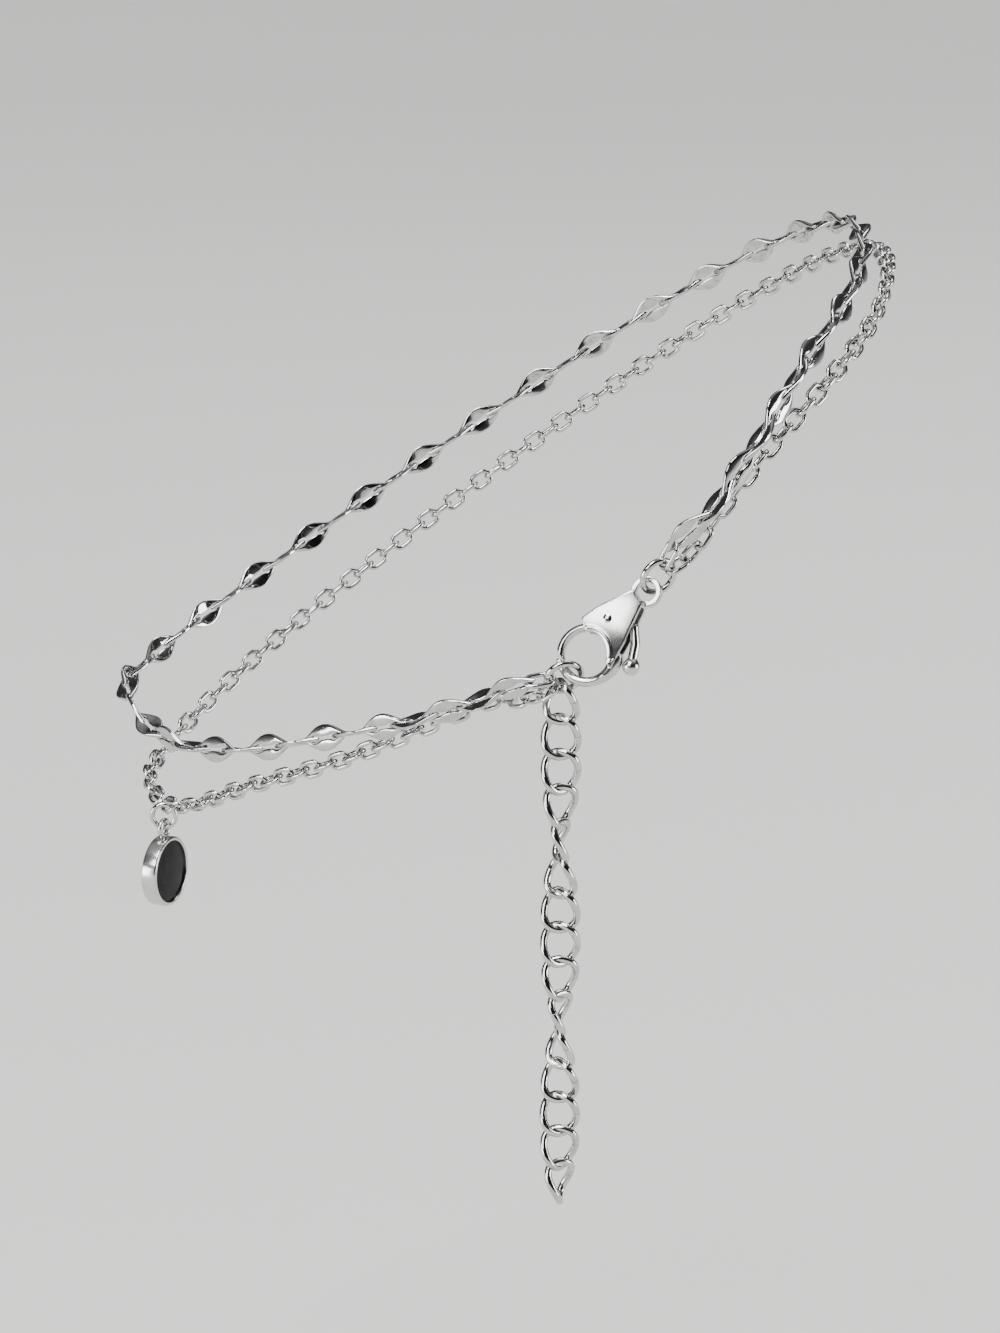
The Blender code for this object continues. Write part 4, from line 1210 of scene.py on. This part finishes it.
# Sky brightness by height, from straight down to straight up. The front has a share of it, between
# two depths of direction, and its blue is a little stronger
SKY = (
    (0.0, 0.45),
    (0.49, 0.64),
    (0.52, 0.60),
    (0.56, 0.30),
    (0.65, 0.05),
    (0.80, 0.07),
    (0.92, 0.40),
    (1.0, 0.55),
)
SKY_FRONT = 0.22
SKY_DEPTHS = (-0.8, 0.3)
SKY_BLUE = 1.01

SUN_DIRECTION = (0.25, 0.35, -0.9)
SUN_STRENGTH = 3.3
SUN_ANGLE = math.radians(25.0)


def aim(obj, direction):
    obj.rotation_euler = direction.to_track_quat("-Z", "Y").to_euler()


def add_floor():
    angles = [math.tau * side / FLOOR_SIDES for side in range(FLOOR_SIDES)]
    points = [(*point, FLOOR_LEVEL) for point in arc(0.0, 0.0, FLOOR_RADIUS, angles)]
    mesh = bpy.data.meshes.new("floor")
    mesh.from_pydata(points, [], [tuple(range(FLOOR_SIDES))])
    add_object("floor", mesh, floor_material())


def add_sky():
    world = bpy.data.worlds.new("studio")
    world.use_nodes = True
    bpy.context.scene.world = world
    tree = world.node_tree
    background = tree.nodes["Background"]
    direction = tree.nodes.new("ShaderNodeTexCoord").outputs["Generated"]
    split = tree.nodes.new("ShaderNodeSeparateXYZ")
    tree.links.new(direction, split.inputs["Vector"])
    height = spread(tree, split.outputs["Z"], -1.0, 1.0, 0.0, 1.0)
    tone = tree.nodes.new("ShaderNodeValToRGB")
    ramp = tone.color_ramp
    while len(ramp.elements) < len(SKY):
        ramp.elements.new(0.5)
    for element, (position, level) in zip(ramp.elements, SKY):
        element.position = position
        element.color = (level, level, level * SKY_BLUE, 1.0)
    tree.links.new(height.outputs["Result"], tone.inputs["Fac"])
    tree.links.new(tone.outputs["Color"], background.inputs["Color"])
    depth = spread(tree, split.outputs["Y"], *SKY_DEPTHS, SKY_FRONT, 1.0)
    depth.interpolation_type = "SMOOTHSTEP"
    tree.links.new(depth.outputs["Result"], background.inputs["Strength"])


def add_sun():
    light = bpy.data.lights.new("sun", "SUN")
    light.energy = SUN_STRENGTH
    light.angle = SUN_ANGLE
    aim(add_object("sun", light), Vector(SUN_DIRECTION))


def add_lights(target):
    for name, place, across, up, power in LIGHTS:
        light = bpy.data.lights.new(name, "AREA")
        light.shape = "RECTANGLE"
        light.size = across
        light.size_y = up
        light.energy = power
        lamp = add_object(name, light)
        lamp.location = place
        aim(lamp, target - lamp.location)


def add_camera(target):
    data = bpy.data.cameras.new("camera")
    data.lens = CAMERA_LENS
    data.clip_start = CAMERA_NEAR
    camera = add_object("camera", data)
    aside = math.sin(CAMERA_AZIMUTH) * math.cos(CAMERA_ELEVATION)
    before = math.cos(CAMERA_AZIMUTH) * math.cos(CAMERA_ELEVATION)
    camera.location = target + CAMERA_DISTANCE * Vector((aside, -before, math.sin(CAMERA_ELEVATION)))
    aim(camera, target - camera.location)
    bpy.context.scene.camera = camera


def add_clasp(place, bright):
    body = cast_mesh("clasp_casting", extruded(body_outline(), CLASP_THICKNESS), body_steps())
    thin_cheeks(body)
    add_heads(body)
    add_piece("clasp_casting", body, place, bright, "root", ["clasp_body"])
    boss = disc(PIVOT_X, PIVOT_Y, BOSS_RADIUS, LEVER_THICKNESS, EYE_SIDES)
    lever = cast_mesh("clasp_gate", boss, lever_steps())
    add_piece("clasp_gate", lever, place, bright, "lever", ["clasp_lever"])


def add_rings(clasp_ring, end_ring, steel):
    ring = jump_ring(RING_OUTER, RING_WIRE)
    for name, ring_place, replaced in (("clasp_jump_ring", clasp_ring, "clasp_ring"),
                                       ("end_jump_ring", end_ring, "end_ring")):
        add_piece(name, mesh_from(name, [ring]), ring_place, steel, "root", [replaced])


def add_strands(clasp_ring, end_ring, steel, plate):
    """Both strands and the extender; returns the place of the link that holds the charm's ring."""
    still = Matrix.Identity(4)
    lip = Path(route_path("lip", clasp_ring, CLASP_LIP_SEAT, end_ring, END_LIP_SEAT))
    cable = Path(route_path("cable", clasp_ring, CLASP_CABLE_SEAT, end_ring, END_CABLE_SEAT))
    lips = mesh_from("lip_strand", lip_links(lip, clasp_ring, end_ring))
    add_piece("lip_strand", lips, still, plate, "root", ["lip_chain"])
    cables, charm_link = cable_links(cable, clasp_ring, end_ring)
    add_piece("cable_strand", mesh_from("cable_strand", cables), still, steel, "root",
              ["cable_chain_long", "cable_chain_short", "cable_link_clasp", "cable_link_charm",
               "cable_link_end"])
    curbs = mesh_from("extender_links", extender_links(end_ring))
    add_piece("extender_links", curbs, still, steel, "root", ["extender_chain"])
    return charm_link


def add_charm(charm_link, steel, bright, face):
    """The charm's ring through its cable link, and the disc that hangs from the ring."""
    radius = (CHARM_RING_OUTER - CHARM_RING_WIRE) / 2.0
    play = CABLE_WIDTH / 2.0 - CABLE_WIRE - CHARM_RING_WIRE / 2.0 - RING_CLEARANCE
    centre = charm_link.translation + CHARM_RING_LEAN_TO * (radius + play)
    ring_place = frame_matrix(centre, CHARM_RING_LEAN_TO, OVAL_ACROSS)
    small_ring = mesh_from("charm_jump_ring", [jump_ring(CHARM_RING_OUTER, CHARM_RING_WIRE)])
    add_piece("charm_jump_ring", small_ring, ring_place, steel, "root", ["charm_ring"])
    hang = Matrix.Translation(lowest_wire(ring_place, radius)) @ Matrix.Rotation(CHARM_TURN, 4, "Z")
    hang = hang @ Matrix.Rotation(math.pi / 2.0, 4, "Y")
    charm = add_piece("charm_disc", charm_mesh(), hang, bright, "charm", ["charm"])
    # The second material paints the dished face near-black, a painted dark reflection and shade
    charm.data.materials.append(face)


def add_studio():
    middle = (CAD_BOX[0] + CAD_BOX[1]) / 2.0
    add_floor()
    add_sky()
    add_sun()
    add_lights(middle)
    add_camera(middle)


def build():
    steel, plate, bright, face = [polished_material(name) for name in FINISHES]
    # The charm face's painted dark reflection: its specular is turned down to keep it dark
    specular = face.node_tree.nodes["Principled BSDF"].inputs["Specular IOR Level"]
    specular.default_value = CHARM_FACE_SPECULAR
    level, place = clasp_place()
    clasp_ring, end_ring = ring_places(level, place)
    add_clasp(place, bright)
    add_rings(clasp_ring, end_ring, steel)
    charm_link = add_strands(clasp_ring, end_ring, steel, plate)
    add_charm(charm_link, steel, bright, face)
    add_studio()


build()
